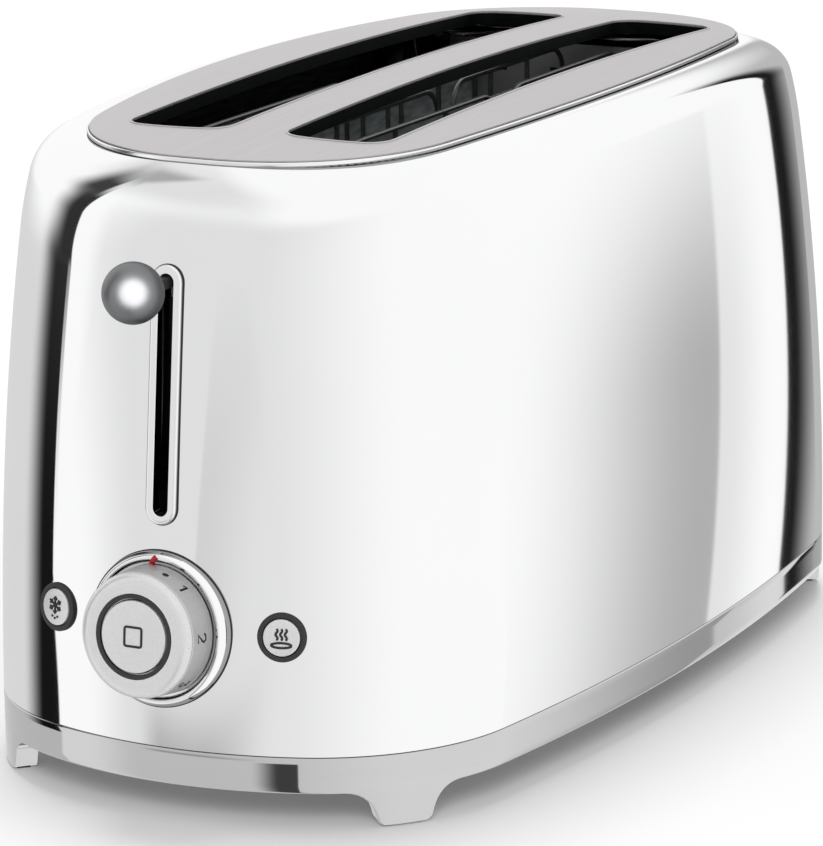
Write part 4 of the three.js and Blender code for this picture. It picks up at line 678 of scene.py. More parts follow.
def finishes(scene):
    """The finishes by name, made once. Each recipe is as finish_of takes it: colour, metallic, roughness
    and its spread, scale of the noise, darker shade and strength of the bump."""
    look = scene.toaster_finish
    recipes = {
        "polished_chrome": (look.chrome, 1.0, 0.035, 0.012, (9, 9, 9), 0.985),
        "brushed_plate": (look.brushed, 1.0, 0.42, 0.05, (14, 1900, 40), 0.9, 0.25),
        "satin_band": (look.band, 1.0, 0.045, 0.015, (20, 20, 300), 0.98),
        "satin_knob": (look.satin, 0.5, 0.3, 0.05, (1300, 1300, 1300), 0.93, 0.12),
        "sheet_metal": (look.steel, 0.8, 0.45, 0.08, (60, 60, 60), 0.75),
        "bright_wire": (look.wire, 1.0, 0.22, 0.05, (400, 400, 400), 0.9),
        "guide_wire": (look.guide, 1.0, 0.4, 0.05, (400, 400, 400), 0.8),
        "dark_chrome": (look.ball, 1.0, 0.38, 0.02, (60, 60, 60), 0.97),
        "black_matte": (look.black, 0.0, 0.42, 0.06, (1500, 1500, 1500), 0.7, 0.2),
        "soft_rubber": (look.rubber, 0.0, 0.8, 0.08, (900, 900, 900), 0.7, 0.3),
        "dark_liner": (look.liner, 0.2, 0.5, 0.12, (120, 300, 500), 0.5, 0.3),
        "slot_lining": (look.lining, 1.0, 0.5, 0.08, (300, 300, 300), 0.7),
        "soft_chrome": (look.chrome, 1.0, 0.2, 0.02, (9, 9, 300), 0.985),
        "green_board": (look.board, 0.0, 0.45, 0.06, (500, 500, 500), 0.7),
        "copper_winding": (look.copper, 0.7, 0.5, 0.08, (100, 100, 2500), 0.5, 0.4),
        "print_ink": (look.ink, 0.0, 0.5, 0.05, (2500, 2500, 2500), 0.8),
        "red_index": (look.index, 0.0, 0.4, 0.05, (2500, 2500, 2500), 0.85),
    }
    return {
        name: bpy.data.materials.get(name) or finish_of(name, *recipe) for name, recipe in recipes.items()
    }


def make_piece(name, surfaces, body, finish, slot, replaced=(), sharp=30.0):
    """One piece of the toaster from surfaces measured from the band's middle. They are put in one mesh,
    points that fall together are merged, faces turned outwards, and edges sharper than `sharp` degrees kept
    crisp."""
    points, faces, start = [], [], 0
    for surface_points, surface_faces in surfaces:
        used, numbers = np.unique(surface_faces, return_inverse=True)
        points.append(surface_points[used] + SHIFT)
        faces.append(numbers.reshape(surface_faces.shape) + start)
        start += len(used)
    mesh = bpy.data.meshes.new(name)
    mesh.from_pydata(np.concatenate(points).tolist(), [], np.concatenate(faces).tolist())
    work = bmesh.new()
    work.from_mesh(mesh)
    bmesh.ops.remove_doubles(work, verts=work.verts, dist=SAME_POINT)
    bmesh.ops.recalc_face_normals(work, faces=work.faces)
    work.to_mesh(mesh)
    work.free()
    mesh.validate()
    mesh.shade_smooth()
    mesh.set_sharp_from_angle(angle=math.radians(sharp))
    mesh.materials.append(finish)
    piece = bpy.data.objects.new(name, mesh)
    bpy.context.scene.collection.objects.link(piece)
    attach(piece, body)
    if replaced:
        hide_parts(*replaced)
    return piece


def wall_piece(name, station, surfaces, *said):
    """One piece of the toaster from surfaces in a station's frame; the rest is as make_piece takes it."""
    return make_piece(name, [at_station(surface, station) for surface in surfaces], *said)


def raised(line, height):
    """A flat line of x and y pairs at one height."""
    return np.column_stack([line, np.full(len(line), height)])


def round_dial(radius, spin, height):
    """Points at a radius, an angle clockwise from the top and a height over the wall."""
    return np.column_stack([radius * np.sin(spin), radius * np.cos(spin), height])


def give_finish(nodes, finish):
    """Gives CAD pieces a finish and leaves their shape alone."""
    for name in nodes:
        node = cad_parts[name]
        node.data.materials.clear()
        node.data.materials.append(finish)


# Operators, one for each piece or group of like pieces


class TOASTER_OT_shell(bpy.types.Operator):
    """Builds the polished shell with the holes of its controls"""

    bl_idname = "toaster.shell"
    bl_label = "Shell"
    low_rows, shoulder_rows, shoulder_start = 56, 26, 0.84
    columns, column_ease, snap, snap_rounds = (20, 30, 24), 1.5, 0.0023, 4
    far, hole_reach, crisp = 1.0, 0.02, 50

    def hole_gaps(self, points, holes):
        """Distance of each point outside the holes, and the step along the wall to the nearest edge. A hole
        is the points within a radius of an upright line of so much half length."""
        gap = np.full(points.shape[:2], self.far)
        step = np.zeros(points.shape)
        for (origin, axes), half, radius in holes:
            local = (points - origin) @ axes.T
            over = np.sign(local[..., 1]) * np.maximum(np.abs(local[..., 1]) - half, 0)
            span = np.maximum(np.hypot(local[..., 0], over), TINY)
            here = np.where(np.abs(local[..., 2]) < self.hole_reach, span - radius, self.far)
            away = (local[..., :1] * axes[0] + over[..., None] * axes[1]) / span[..., None]
            nearer = here < gap
            step = np.where(nearer[..., None], -here[..., None] * away, step)
            gap = np.where(nearer, here, gap)
        return gap, step

    def execute(self, context):
        toaster = Toaster(context.scene)
        front = toaster.front
        station, bezel_length = lever_station(toaster)
        neck = front.opening / 2 + front.neck_wall + SEAT
        half = bezel_length / 2 - front.rim + front.neck_wall + SEAT - neck
        holes = [(station, half, neck), (toaster.station(0, front.dial_z), 0.0, front.hole)]
        holes += [(place, 0.0, front.button_neck + SEAT) for place in button_stations(toaster)]
        low = np.linspace(0, self.shoulder_start, self.low_rows, endpoint=False)
        shares = np.concatenate([low, np.linspace(self.shoulder_start, 1, self.shoulder_rows)])
        turns = quarter_turns(toaster.shell_form(shares), self.columns, self.column_ease)
        shares = np.broadcast_to(shares[:, None], turns.shape)
        points = toaster.shell_points(shares, turns)
        gap, step = self.hole_gaps(points, holes)
        near = np.abs(gap) < self.snap
        for _ in range(self.snap_rounds):
            by_share, by_turn = toaster.shell_slopes(shares, turns)
            shares = shares + near * (step * by_share).sum(-1) / (by_share**2).sum(-1)
            turns = turns + near * (step * by_turn).sum(-1) / (by_turn**2).sum(-1)
            _, step = self.hole_gaps(toaster.shell_points(shares, turns), holes)
        gap = np.where(near, 0.0, gap)
        corners = gap + np.roll(gap, -1, axis=1)
        kept = (corners[:-1] + corners[1:]) > 0
        outer = toaster.shell_points(shares, turns)
        inner = toaster.shell_points(shares, turns, toaster.shell.wall)
        surface = sheet_surface(outer, inner, kept, wrap=True)
        look = finishes(context.scene)["polished_chrome"]
        piece = make_piece("shell", [surface], "housing", look, "polished_steel", ["body_shell"], self.crisp)
        by_share, by_turn = toaster.shell_slopes(shares, turns)
        normals = np.cross(by_turn, by_share).reshape(-1, 3)
        normals /= np.linalg.norm(normals, axis=1, keepdims=True)
        normals = np.concatenate([normals, -normals])[np.unique(surface[1])]
        piece.data.normals_split_custom_set_from_vertices(normals.tolist())
        return {"FINISHED"}


class TOASTER_OT_top(bpy.types.Operator):
    """Builds the slotted plate with its lips and the trim ring round it"""

    bl_idname = "toaster.top"
    bl_label = "Top plate and trim"
    ring_counts, slot_counts = (14, 30, 26), (24, 10, 30)
    trim_rounds = (0, 0, 0.0002, 0.0005, 0.0003, 0, 0, 0)
    lip_rounds, lip_steps, snap_share = (0, 0.0003, 0.0003, 0), 5, 0.71

    def plate(self, toaster):
        """The crowned plate: a grid over its plan whose points near an edge are moved onto it."""
        top = toaster.top
        edge = {key: value - top.margin for key, value in toaster.mouth.items()}
        hole = {key: value + top.lip_wall / 2 for key, value in toaster.slot.items()}
        counts = [math.ceil(edge[key] / top.pitch) + 1 for key in "xy"]
        x, y = np.meshgrid(*(np.arange(-count, count + 1) * top.pitch for count in counts))
        gaps = [outline_gap(edge, x, y)]
        for side in SIDES:
            gap, away_x, away_y = outline_gap(hole, x - top.slot_shift, y - side * top.slot_spacing / 2)
            gaps.append((-gap, -away_x, -away_y))
        outside = np.full(x.shape, -1.0)
        for gap, away_x, away_y in gaps:
            near = np.abs(gap) < self.snap_share * top.pitch
            x = x - near * gap * away_x
            y = y - near * gap * away_y
            outside = np.maximum(outside, np.where(near, 0.0, gap))
        corners = outside[:, :-1] + outside[:, 1:]
        kept = (corners[:-1] + corners[1:]) < -TINY
        height = toaster.crown(x, y)
        upper = np.stack([x, y, height], axis=-1)
        return sheet_surface(upper, upper - np.array([0, 0, top.thickness]), kept)

    def execute(self, context):
        toaster, looks = Toaster(context.scene), finishes(context.scene)
        top = toaster.top
        turns = quarter_turns(toaster.mouth, self.ring_counts)
        bottom = top.thickness + top.trim_height
        profile = soft_corners(
            [
                (top.trim_flange, top.thickness + SEAT),
                (top.margin - SEAT, top.thickness + SEAT),
                (top.margin - SEAT, top.trim_lip),
                (0, top.trim_lip),
                (0, top.trim_face),
                (toaster.shell.wall + SEAT, top.trim_face),
                (toaster.shell.wall + SEAT, bottom),
                (top.trim_flange, bottom),
            ],
            self.trim_rounds,
        )
        ring = loop_surface(carried(toaster.mouth, turns, profile, toaster.crown))
        make_piece("trim_ring", [ring], "housing", looks["soft_chrome"], "polished_steel", ["top_trim"])
        lip = soft_corners(
            [
                (-top.lip_wall, top.lip_edge),
                (-top.lip_wall, -top.lip_rise),
                (0, -top.lip_rise),
                (0, top.lip_edge),
            ],
            self.lip_rounds,
            self.lip_steps,
        )
        # Painted shade: below the lips' bright edge the turned-down metal is coloured near-black for the
        # darkness deep in the slots
        lining = np.array(
            [
                (-top.lip_wall, top.lip_edge),
                (0, top.lip_edge),
                (0, top.lip_depth),
                (-top.lip_wall, top.lip_depth),
            ]
        )
        slot_turns = quarter_turns(toaster.slot, self.slot_counts)
        surfaces = [self.plate(toaster)]
        linings = []
        for side in SIDES:
            middle = np.array([top.slot_shift, side * top.slot_spacing / 2])

            def height(x, y, middle=middle):
                return toaster.crown(x + middle[0], y + middle[1])

            for made, profile in ((surfaces, lip), (linings, lining)):
                points, faces = loop_surface(carried(toaster.slot, slot_turns, profile, height))
                made.append((points + np.append(middle, 0), faces))
        make_piece("slot_linings", linings, "housing", looks["slot_lining"], "sheet_steel")
        make_piece("slotted_plate", surfaces, "housing", looks["brushed_plate"], "brushed_top", ["top_plate"])
        return {"FINISHED"}


class TOASTER_OT_band(bpy.types.Operator):
    """Builds the base band with its four feet, and the crumb tray whose front closes its window"""

    bl_idname = "toaster.band"
    bl_label = "Base band and crumb tray"
    sole_steps, toe_steps, fillet_steps = 4, 8, 16
    end_steps, side_steps, edge_steps = 24, 44, 5
    window_gap, crisp, same_place = 0.001, 40, 1e-6
    front_steps, front_rows, pan_end = 81, 5, 0.012

    def corner_turn(self, body, reach):
        """The normal angle at which the corner arc has come so far to the side."""
        *_, corner_y, _, _ = tangent_arcs(body)
        return math.asin((reach - corner_y) / body["corner"])

    def foot_edge(self, band):
        """The lower edge of half a foot, from its middle outwards: flat sole, toe parabola and fillet."""
        toe = (band.bottom - band.sole) / 4
        half, top = band.foot_bottom / 2, band.foot_top / 2
        shoulder = (half + band.edge, band.sole + toe)
        flat = np.linspace(0, half - toe, self.sole_steps)
        sole = np.column_stack([flat, np.full_like(flat, band.sole)])
        round_toe = quadratic((half - toe, band.sole), (half, band.sole), shoulder, self.toe_steps)
        control = (top - band.foot_fillet, band.bottom)
        fillet = quadratic(shoulder, control, (top, band.bottom), self.fillet_steps)
        return np.concatenate([sole, round_toe[1:], fillet[1:]])

    def lower_edge(self, toaster, window):
        """The band's lower edge once round: places along the outline and heights, dipping at each foot."""
        band = toaster.band
        *_, first, _ = tangent_arcs(toaster.body)
        _, ends = length_turns(toaster.body, np.zeros(1))
        foot = ends[1] + toaster.body["corner"] * (band.foot_angle - first)
        half = self.foot_edge(band)
        before = np.linspace(0, foot - half[-1, 0], self.end_steps, endpoint=False)
        before = np.sort(np.append(before, window))
        after = np.linspace(foot + half[-1, 0], ends[-1], self.side_steps)[1:]
        quarter = np.concatenate(
            [
                np.column_stack([before, np.full_like(before, band.bottom)]),
                half[::-1] * [-1, 1] + [foot, 0],
                half[1:] + [foot, 0],
                np.column_stack([after, np.full_like(after, band.bottom)]),
            ]
        )
        mirrored = quarter[-2:0:-1] * [-1, 1] + [2 * ends[-1], 0]
        half_round = np.concatenate([quarter, mirrored])
        return np.concatenate([half_round, half_round + [2 * ends[-1], 0]]), ends[-1]

    def section(self, band, edge, quarter):
        """The band's section at each place of its lower edge, as places along the outline, insets and
        heights: up the outside, over the rounded top, down the inside and round the lower edge, where each
        point moves square to that edge. The tray's levels are rows of it on both sides."""
        around = edge[:, 0]
        after, before = np.roll(edge, -1, axis=0), np.roll(edge, 1, axis=0)
        after[-1, 0] += 4 * quarter
        before[0, 0] -= 4 * quarter
        along = after - before
        along /= np.linalg.norm(along, axis=1, keepdims=True)
        inward = np.column_stack([-along[:, 1], along[:, 0]])
        depth = np.where(edge[:, 1] < band.bottom - self.same_place, band.foot_depth, band.wall)
        low = band.tray_floor - SEAT
        high = band.tray_floor + band.tray_height + SEAT
        turn = np.linspace(0, np.pi / 2, self.edge_steps)
        rounding = [(band.edge * (1 - math.cos(a)), band.edge * (1 - math.sin(a))) for a in turn]
        rows = [(around, 0.0, low), (around, 0.0, high)]
        rows += [(around, inset, band.top - drop) for inset, drop in rounding]
        rows += [(around, depth, level) for level in (band.top, high, low, edge[:, 1])]
        rows += [
            (around + inward[:, 0] * lift, inset, edge[:, 1] + inward[:, 1] * lift)
            for inset, lift in reversed(rounding)
        ]
        return (np.array(part) for part in zip(*(np.broadcast_arrays(*row) for row in rows)))

    def execute(self, context):
        toaster, looks = Toaster(context.scene), finishes(context.scene)
        band, body = toaster.band, toaster.body
        *_, first, _ = tangent_arcs(body)
        _, ends = length_turns(body, np.zeros(1))
        last = self.corner_turn(body, band.tray_width / 2 + self.window_gap)
        window = ends[1] + body["corner"] * (last - first)
        edge, quarter = self.lower_edge(toaster, window)
        around = edge[:, 0]
        places, insets, heights = self.section(band, edge, quarter)
        turns, _ = length_turns(body, places)
        x, y = outline(body, turns, insets)
        grid = np.stack([x, y, heights], axis=-1)
        count, columns = grid.shape[:2]
        faces = grid_faces(count, columns, True, True)
        in_window = (around < window - self.same_place) | (around > 4 * quarter - window - self.same_place)
        kept = np.ones(faces.shape[:2], bool)
        inner_high = self.edge_steps + 3
        kept[0, in_window] = kept[inner_high, in_window] = False

        def quads(*corners):
            """Faces from four pairs of row and columns."""
            return np.stack([row * columns + column for row, column in corners], axis=-1)

        opening = np.flatnonzero(in_window)
        following = (opening + 1) % columns
        rims = [
            quads((a, opening), (a, following), (b, following), (b, opening))
            for a, b in ((0, inner_high + 1), (1, inner_high))
        ]
        edges = np.flatnonzero(in_window != np.roll(in_window, 1))
        rims.append(quads((0, edges), (1, edges), (inner_high, edges), (inner_high + 1, edges)))
        surface = (grid.reshape(-1, 3), np.concatenate([faces[kept], *rims]))
        satin = looks["satin_band"]
        make_piece("band_and_feet", [surface], "housing", satin, "band_metal", ["base_band"], self.crisp)
        self.tray(toaster, looks)
        return {"FINISHED"}

    def tray(self, toaster, looks):
        """The crumb tray: a front that follows the band, with a finger notch, and a shallow pan behind it."""
        band, body = toaster.band, toaster.body
        last = self.corner_turn(body, band.tray_width / 2 + self.window_gap - SEAT)
        turns = np.linspace(-last, last, self.front_steps)
        x, y = outline(body, turns)
        inner_x, inner_y = outline(body, turns, band.wall)
        notch = np.sqrt(np.maximum(band.grip_radius**2 - y**2, 0)) - band.grip_radius + band.grip_height
        low = band.tray_floor + np.maximum(notch, 0)
        share = np.linspace(0, 1, self.front_rows)[:, None]
        height = low + (band.tray_floor + band.tray_height - low) * share

        def grid(px, py):
            return np.stack(np.broadcast_arrays(px, py, height), axis=-1)

        front = sheet_surface(grid(x, y), grid(inner_x, inner_y))
        reach = band.tray_width / 2
        start, floor, wall = band.tray_start, band.tray_floor, band.tray_wall
        top = floor + band.tray_height
        stop = body["x"] - band.wall - self.pan_end
        pan = [
            box_surface((start, -reach, floor), (stop, reach, floor + wall)),
            box_surface((start, -reach, floor + wall), (start + wall, reach, top)),
        ]
        for side in SIDES:
            sides = sorted((side * reach, side * (reach - wall)))
            pan.append(box_surface((start + wall, sides[0], floor + wall), (stop, sides[1], top)))
        behind = np.stack([np.full_like(inner_x, stop), np.clip(inner_y, -reach, reach)], -1)
        plank = np.stack([behind, np.stack([inner_x, inner_y], -1)])
        levels = (np.full(plank.shape[:2] + (1,), level) for level in (floor + wall, floor))
        pan.append(sheet_surface(*(np.concatenate([plank, level], -1) for level in levels)))
        surfaces, satin = [front, *pan], looks["satin_band"]
        make_piece("crumb_tray_smooth", surfaces, "tray", satin, "band_metal", ["crumb_tray"], self.crisp)


class TOASTER_OT_lever(bpy.types.Operator):
    """Builds the bezel of the lever's slot, the lever's ball and its collar"""

    bl_idname = "toaster.lever"
    bl_label = "Lever"
    sunk, seal_width, seal_rise = 0.0006, 0.0002, 0.0002
    bezel_rounds = (0, 0.0005, 0.001, 0, 0, 0)
    collar_slope, collar_rounds = 0.7, (0, 0.0003, 0.0006, 0.0003, 0)
    forward = np.array([[0, 1, 0], [0, 0, 1], [-1, 0, 0]], float)

    def stadium(self, half, profile, steps=16):
        """A closed profile of distance and height pairs carried round an upright stadium: half circles
        whose middles lie half a length above and below the station, with straight sides between them."""
        turn = np.linspace(0, np.pi, steps)
        turns = np.concatenate([turn, turn + np.pi])
        lift = np.concatenate([np.full(steps, half), np.full(steps, -half)])
        reach = profile[:, 0, None]
        x, y = reach * np.cos(turns), reach * np.sin(turns) + lift
        return np.stack(np.broadcast_arrays(x, y, profile[:, 1, None]), axis=-1)

    def bezel(self, front, station, half_length, looks):
        """The bezel of the lever's slot, its neck through the shell, and a thin black band behind it: painted
        shade for the gap where the bezel meets the wall.
        """
        inner, outer = front.opening / 2, front.bezel_width / 2
        neck = inner + front.neck_wall
        profile = soft_corners(
            [
                (inner, -front.neck_depth),
                (inner, front.bezel_proud),
                (outer, front.bezel_proud),
                (outer, -self.sunk),
                (neck, -self.sunk),
                (neck, -front.neck_depth),
            ],
            self.bezel_rounds,
        )
        half = half_length - outer
        bezel = loop_surface(self.stadium(half, profile))
        chrome = looks["polished_chrome"]
        wall_piece("lever_slot_bezel", station, [bezel], "housing", chrome, "polished_steel", ["lever_bezel"])
        # Painted shade: a thin black band round the bezel where it meets the wall
        rim = outer + self.seal_width
        seal = [(neck, -self.sunk), (rim, -self.sunk), (rim, self.seal_rise), (neck, self.seal_rise)]
        ring = loop_surface(self.stadium(half, np.array(seal)))
        wall_piece("bezel_seal", station, [ring], "housing", looks["black_matte"], "black_plastic")

    def ball(self, front, looks):
        """The lever's ball, with a flat behind where the collar meets it."""
        start = -math.asin(front.ball_flat / front.ball)
        turn = np.linspace(start, np.pi / 2, SMALL_ROUND)
        ball = front.ball * np.column_stack([np.cos(turn), np.sin(turn)])
        ball[-1, 0] = 0
        ball = turned(np.vstack([[(0, -front.ball_flat)], ball]))
        place = (np.array([front.ball_x, 0, front.ball_z]), self.forward)
        dark = looks["dark_chrome"]
        return wall_piece("lever_knob_ball", place, [ball], "lift", dark, "polished_steel", ["lever_ball"])

    def collar(self, front, looks):
        """The collar between the ball and the slot, which widens towards the ball."""
        collar = soft_corners(
            [
                (0, 0),
                (front.collar_neck, 0),
                (front.collar, front.collar_length * self.collar_slope),
                (front.collar, front.collar_length),
                (0, front.collar_length),
            ],
            self.collar_rounds,
        )
        start = front.ball_x + front.ball_flat + SEAT + front.collar_length
        place = (np.array([start, 0, front.ball_z]), self.forward)
        collar, chrome = turned(collar, SMALL_ROUND), looks["polished_chrome"]
        return wall_piece("lever_neck", place, [collar], "lift", chrome, "polished_steel", ["lever_collar"])

    def execute(self, context):
        toaster, looks = Toaster(context.scene), finishes(context.scene)
        station, bezel_length = lever_station(toaster)
        self.bezel(toaster.front, station, bezel_length / 2, looks)
        moving = [self.ball(toaster.front, looks), self.collar(toaster.front, looks)]
        for hidden in (*moving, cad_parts["lift_carriage"]):
            hidden.visible_glossy = False
        return {"FINISHED"}


class TOASTER_OT_dial(bpy.types.Operator):
    """Builds the dial's ring with its red index, the numbered knob, its black inlay and the stop button"""

    bl_idname = "toaster.dial"
    bl_label = "Dial"
    # The numbers 1 to 6 in shares of their height, from the middle of each
    digit_strokes = (
        ((-0.22, 0.28), (0.06, 0.5), (0.06, -0.5)),
        (
            ((-0.3, 0.28), (-0.2, 0.44), (0, 0.5), (0.2, 0.44))
            + ((0.3, 0.25), (0.22, 0.05), (-0.3, -0.5), (0.33, -0.5))
        ),
        (
            ((-0.28, 0.5), (0.28, 0.5), (0, 0.12), (0.2, 0.05))
            + ((0.3, -0.18), (0.2, -0.42), (-0.02, -0.5), (-0.3, -0.4))
        ),
        ((0.15, -0.5), (0.15, 0.5), (-0.34, -0.2), (0.36, -0.2)),
        (
            ((0.28, 0.5), (-0.2, 0.5), (-0.26, 0.05), (0, 0.13), (0.22, 0.05))
            + ((0.31, -0.17), (0.2, -0.42), (-0.02, -0.5), (-0.3, -0.4))
        ),
        (
            ((0.2, 0.5), (-0.12, 0.22), (-0.28, -0.12), (-0.22, -0.4), (0, -0.5))
            + ((0.24, -0.4), (0.3, -0.17), (0.2, 0.02), (0, 0.08), (-0.22, -0.04))
        ),
    )
    # Turns are degrees round the dial, sizes are metres, and the crest's and the index's places on the ring
    # are shares of the bead's width
    first_number, number_step, number_size, number_stroke, print_sunk = 40.0, 48.0, 0.0042, 0.0006, 0.0004
    print_rise, stroke_sides, dot_turn, dot_radius = 0.006, 8, 19.0, 0.0011
    dot_sunk, dot_rise, dot_out, dot_sides = 0.0003, 0.00012, 0.0004, 20
    ring_sunk, ring_side, crest_outer, crest_inner = 0.0035, 0.0009, 1.4, 2.3
    ring_rounds = (0, 0, 0.0008, 0.0009, 0.0006, 0.0004, 0)
    seal_inside, seal_outside, seal_rise = 0.0005, 0.0003, 0.0003
    groove = ((0.0001, -0.0006), (-0.0003, -0.0005), (-0.0003, -0.0002), (0.0, -0.0001))
    groove_rounds = (0.0001, 0, 0, 0.0002)
    knob_rounds = (0, 0, 0, 0, 0.0002, 0.0004, *groove_rounds, 0.0012, 0.0008, 0.0001, 0, 0.0001, 0, 0)
    inlay_rise, inlay_rounds = 0.0001, (0, 0, 0.0002, 0.0002)
    stop_rounds = (0, 0, 0, 0.0002, 0.0006, 0)
    sign_half, sign_round, sign_stroke = 0.0031, 0.0008, 0.0004
    index_turns, index_inside, index_outer = (-6.0, -5.0, -1.5, 0.5), 0.001, 1.5
    index_rise, index_stroke, index_sides = 0.0001, 0.0009, 16

    def crest(self, front, share):
        """The radius on the ring that lies so many widths of its bead in from its edge."""
        return front.ring - (front.ring - front.ring_inner) / 3 * share

    def digits(self, front, station):
        """The numbers 1 to 6 as strokes wrapped round the knob's side: a point's sideways place becomes an
        angle and its upward place a distance along the knob's axis."""
        slope = (front.skirt - front.knob) / (front.proud - front.bevel_depth - front.skirt_start)
        surfaces = []
        for place, stroke in enumerate(self.digit_strokes):
            line = np.array(stroke) * self.number_size
            turn = math.radians(self.first_number + self.number_step * place)
            spin = turn + line[:, 0] / front.knob
            height = front.skirt_start + self.print_rise - line[:, 1]
            radius = front.skirt - slope * (height - front.skirt_start) - self.print_sunk
            path = round_dial(radius, spin, height)
            out = (math.sin(turn), math.cos(turn), 0)
            surfaces.append(at_station(tube(path, self.number_stroke, out, self.stroke_sides), station))
        return surfaces

    def ring(self, front, station, looks, wall_radius):
        """The ring round the knob, with its bead and its dish, and a thin black band behind it: painted shade
        for the gap where the ring meets the wall. The band follows the curve of the wall, which falls by the
        square of a place over twice the wall's radius."""
        ring = soft_corners(
            [
                (front.hole, -self.ring_sunk),
                (front.ring, -self.ring_sunk),
                (front.ring, self.ring_side),
                (self.crest(front, self.crest_outer), front.bead),
                (self.crest(front, self.crest_inner), front.bead),
                (front.ring_inner, front.dish),
                (front.hole, front.dish),
            ],
            self.ring_rounds,
        )
        ring, chrome = turned(ring), looks["polished_chrome"]
        wall_piece("dial_bead_ring", station, [ring], "housing", chrome, "polished_steel", ["dial_ring"])
        # Painted shade: a thin black band round the ring where it meets the wall
        inside, outside = front.ring - self.seal_inside, front.ring + self.seal_outside
        seal = turned(np.array([(inside, 0), (outside, 0), (outside, 1), (inside, 1)]))
        sag = seal[0][:, 0] ** 2 / (2 * wall_radius)
        seal[0][:, 2] = np.where(seal[0][:, 2] > 0, self.seal_rise - sag, -self.ring_sunk)
        wall_piece("dial_seal", station, [seal], "housing", looks["black_matte"], "black_plastic")

    def knob(self, front, station, looks):
        """The browning knob, hollow behind and with a well for the stop button, and the black inlay in it."""
        face = front.proud
        well = face - front.well
        inlay_floor = face - front.inlay_depth
        under = well - front.knob_wall
        inside = front.knob - front.knob_wall
        bevel = face - front.bevel_depth
        knob = soft_corners(
            [
                (front.hub_bore, -front.hub_depth),
                (front.hub, -front.hub_depth),
                (front.hub, under),
                (inside, under),
                (inside, front.skirt_start),
                (front.skirt, front.skirt_start),
                *((front.knob + out, bevel + up) for out, up in self.groove),
                (front.knob - front.bevel / 3, face - front.bevel_depth / 3),
                (front.knob - front.bevel, face),
                (front.inlay + SEAT / 2, face),
                (front.inlay + SEAT / 2, inlay_floor),
                (front.stop + SEAT, inlay_floor),
                (front.stop + SEAT, well),
                (front.hub_bore, well),
            ],
            self.knob_rounds,
        )
        knob, satin = turned(knob), looks["satin_knob"]
        wall_piece("browning_dial", station, [knob], "knob", satin, "satin_metal", ["browning_knob"])
        low = inlay_floor + SEAT / 2
        inlay = soft_corners(
            [
                (front.inlay_inner, low),
                (front.inlay, low),
                (front.inlay, face + self.inlay_rise),
                (front.inlay_inner, face + self.inlay_rise),
            ],
            self.inlay_rounds,
        )
        inlay, black = turned(inlay), looks["black_matte"]
        wall_piece("black_inlay", station, [inlay], "knob", black, "black_plastic", ["knob_inlay"])

    def stop_button(self, front, station, looks, top):
        """The stop button: a cap that fills the knob's well, on a stem through its hub."""
        stop = soft_corners(
            [
                (0, -front.stem_depth),
                (front.stem, -front.stem_depth),
                (front.stem, top - front.stop_height),
                (front.stop, top - front.stop_height),
                (front.stop, top),
                (0, top),
            ],
            self.stop_rounds,
        )
        stop, satin = turned(stop), looks["satin_knob"]
        wall_piece("stop_button_cap", station, [stop], "stop", satin, "satin_metal", ["stop_button"])

    def numbers(self, front, station, looks):
        """The printed numbers, and a round dot on the knob's side between two of them."""
        numbers = self.digits(front, station)
        spin = math.radians(self.dot_turn)
        rim, sunk, rise = self.dot_radius, -self.dot_sunk, self.dot_rise
        dot = turned(np.array([(0, sunk), (rim, sunk), (rim, rise), (0, rise)]), self.dot_sides)
        out = np.array([math.sin(spin), math.cos(spin), 0])
        side = np.array([math.cos(spin), -math.sin(spin), 0])
        middle = out * (front.knob + self.dot_out) + np.array([0, 0, front.skirt_start + self.print_rise])
        dot = at_station(dot, (middle, np.stack([side, np.cross(out, side), out])))
        numbers.append(at_station(dot, station))
        make_piece("dial_numbers", numbers, "knob", looks["print_ink"], "black_plastic")

    def stop_sign(self, station, looks, top):
        """The plain square with soft corners on the stop button."""
        square = self.sign_half * np.array([[-1, -1], [1, -1], [1, 1], [-1, 1]])
        corners = soft_corners(square, (self.sign_round,) * 4)
        closed = np.vstack([corners, corners[:2]])
        sign = tube(raised(closed, top), self.sign_stroke, (0, 0, 1))
        wall_piece("stop_sign", station, [sign], "stop", looks["print_ink"], "black_plastic")

    def index(self, front, station, looks):
        """The red index: a stroke from the dish up over the ring's crest."""
        crest, end = self.crest(front, self.crest_inner), self.crest(front, self.index_outer)
        radii = np.array([front.ring_inner - self.index_inside, front.ring_inner, crest, end])
        heights = np.array([front.dish, front.dish, front.bead, front.bead]) + self.index_rise
        path = round_dial(radii, np.radians(self.index_turns), heights)
        index = tube(path, self.index_stroke, (0, 0, 1), self.index_sides)
        wall_piece("dial_index", station, [index], "housing", looks["red_index"], "black_plastic")

    def execute(self, context):
        toaster, looks = Toaster(context.scene), finishes(context.scene)
        front = toaster.front
        station, top = toaster.station(0, front.dial_z), front.proud + SEAT
        self.ring(front, station, looks, toaster.shell.end)
        self.knob(front, station, looks)
        self.stop_button(front, station, looks, top)
        self.numbers(front, station, looks)
        self.stop_sign(station, looks, top)
        self.index(front, station, looks)
        return {"FINISHED"}


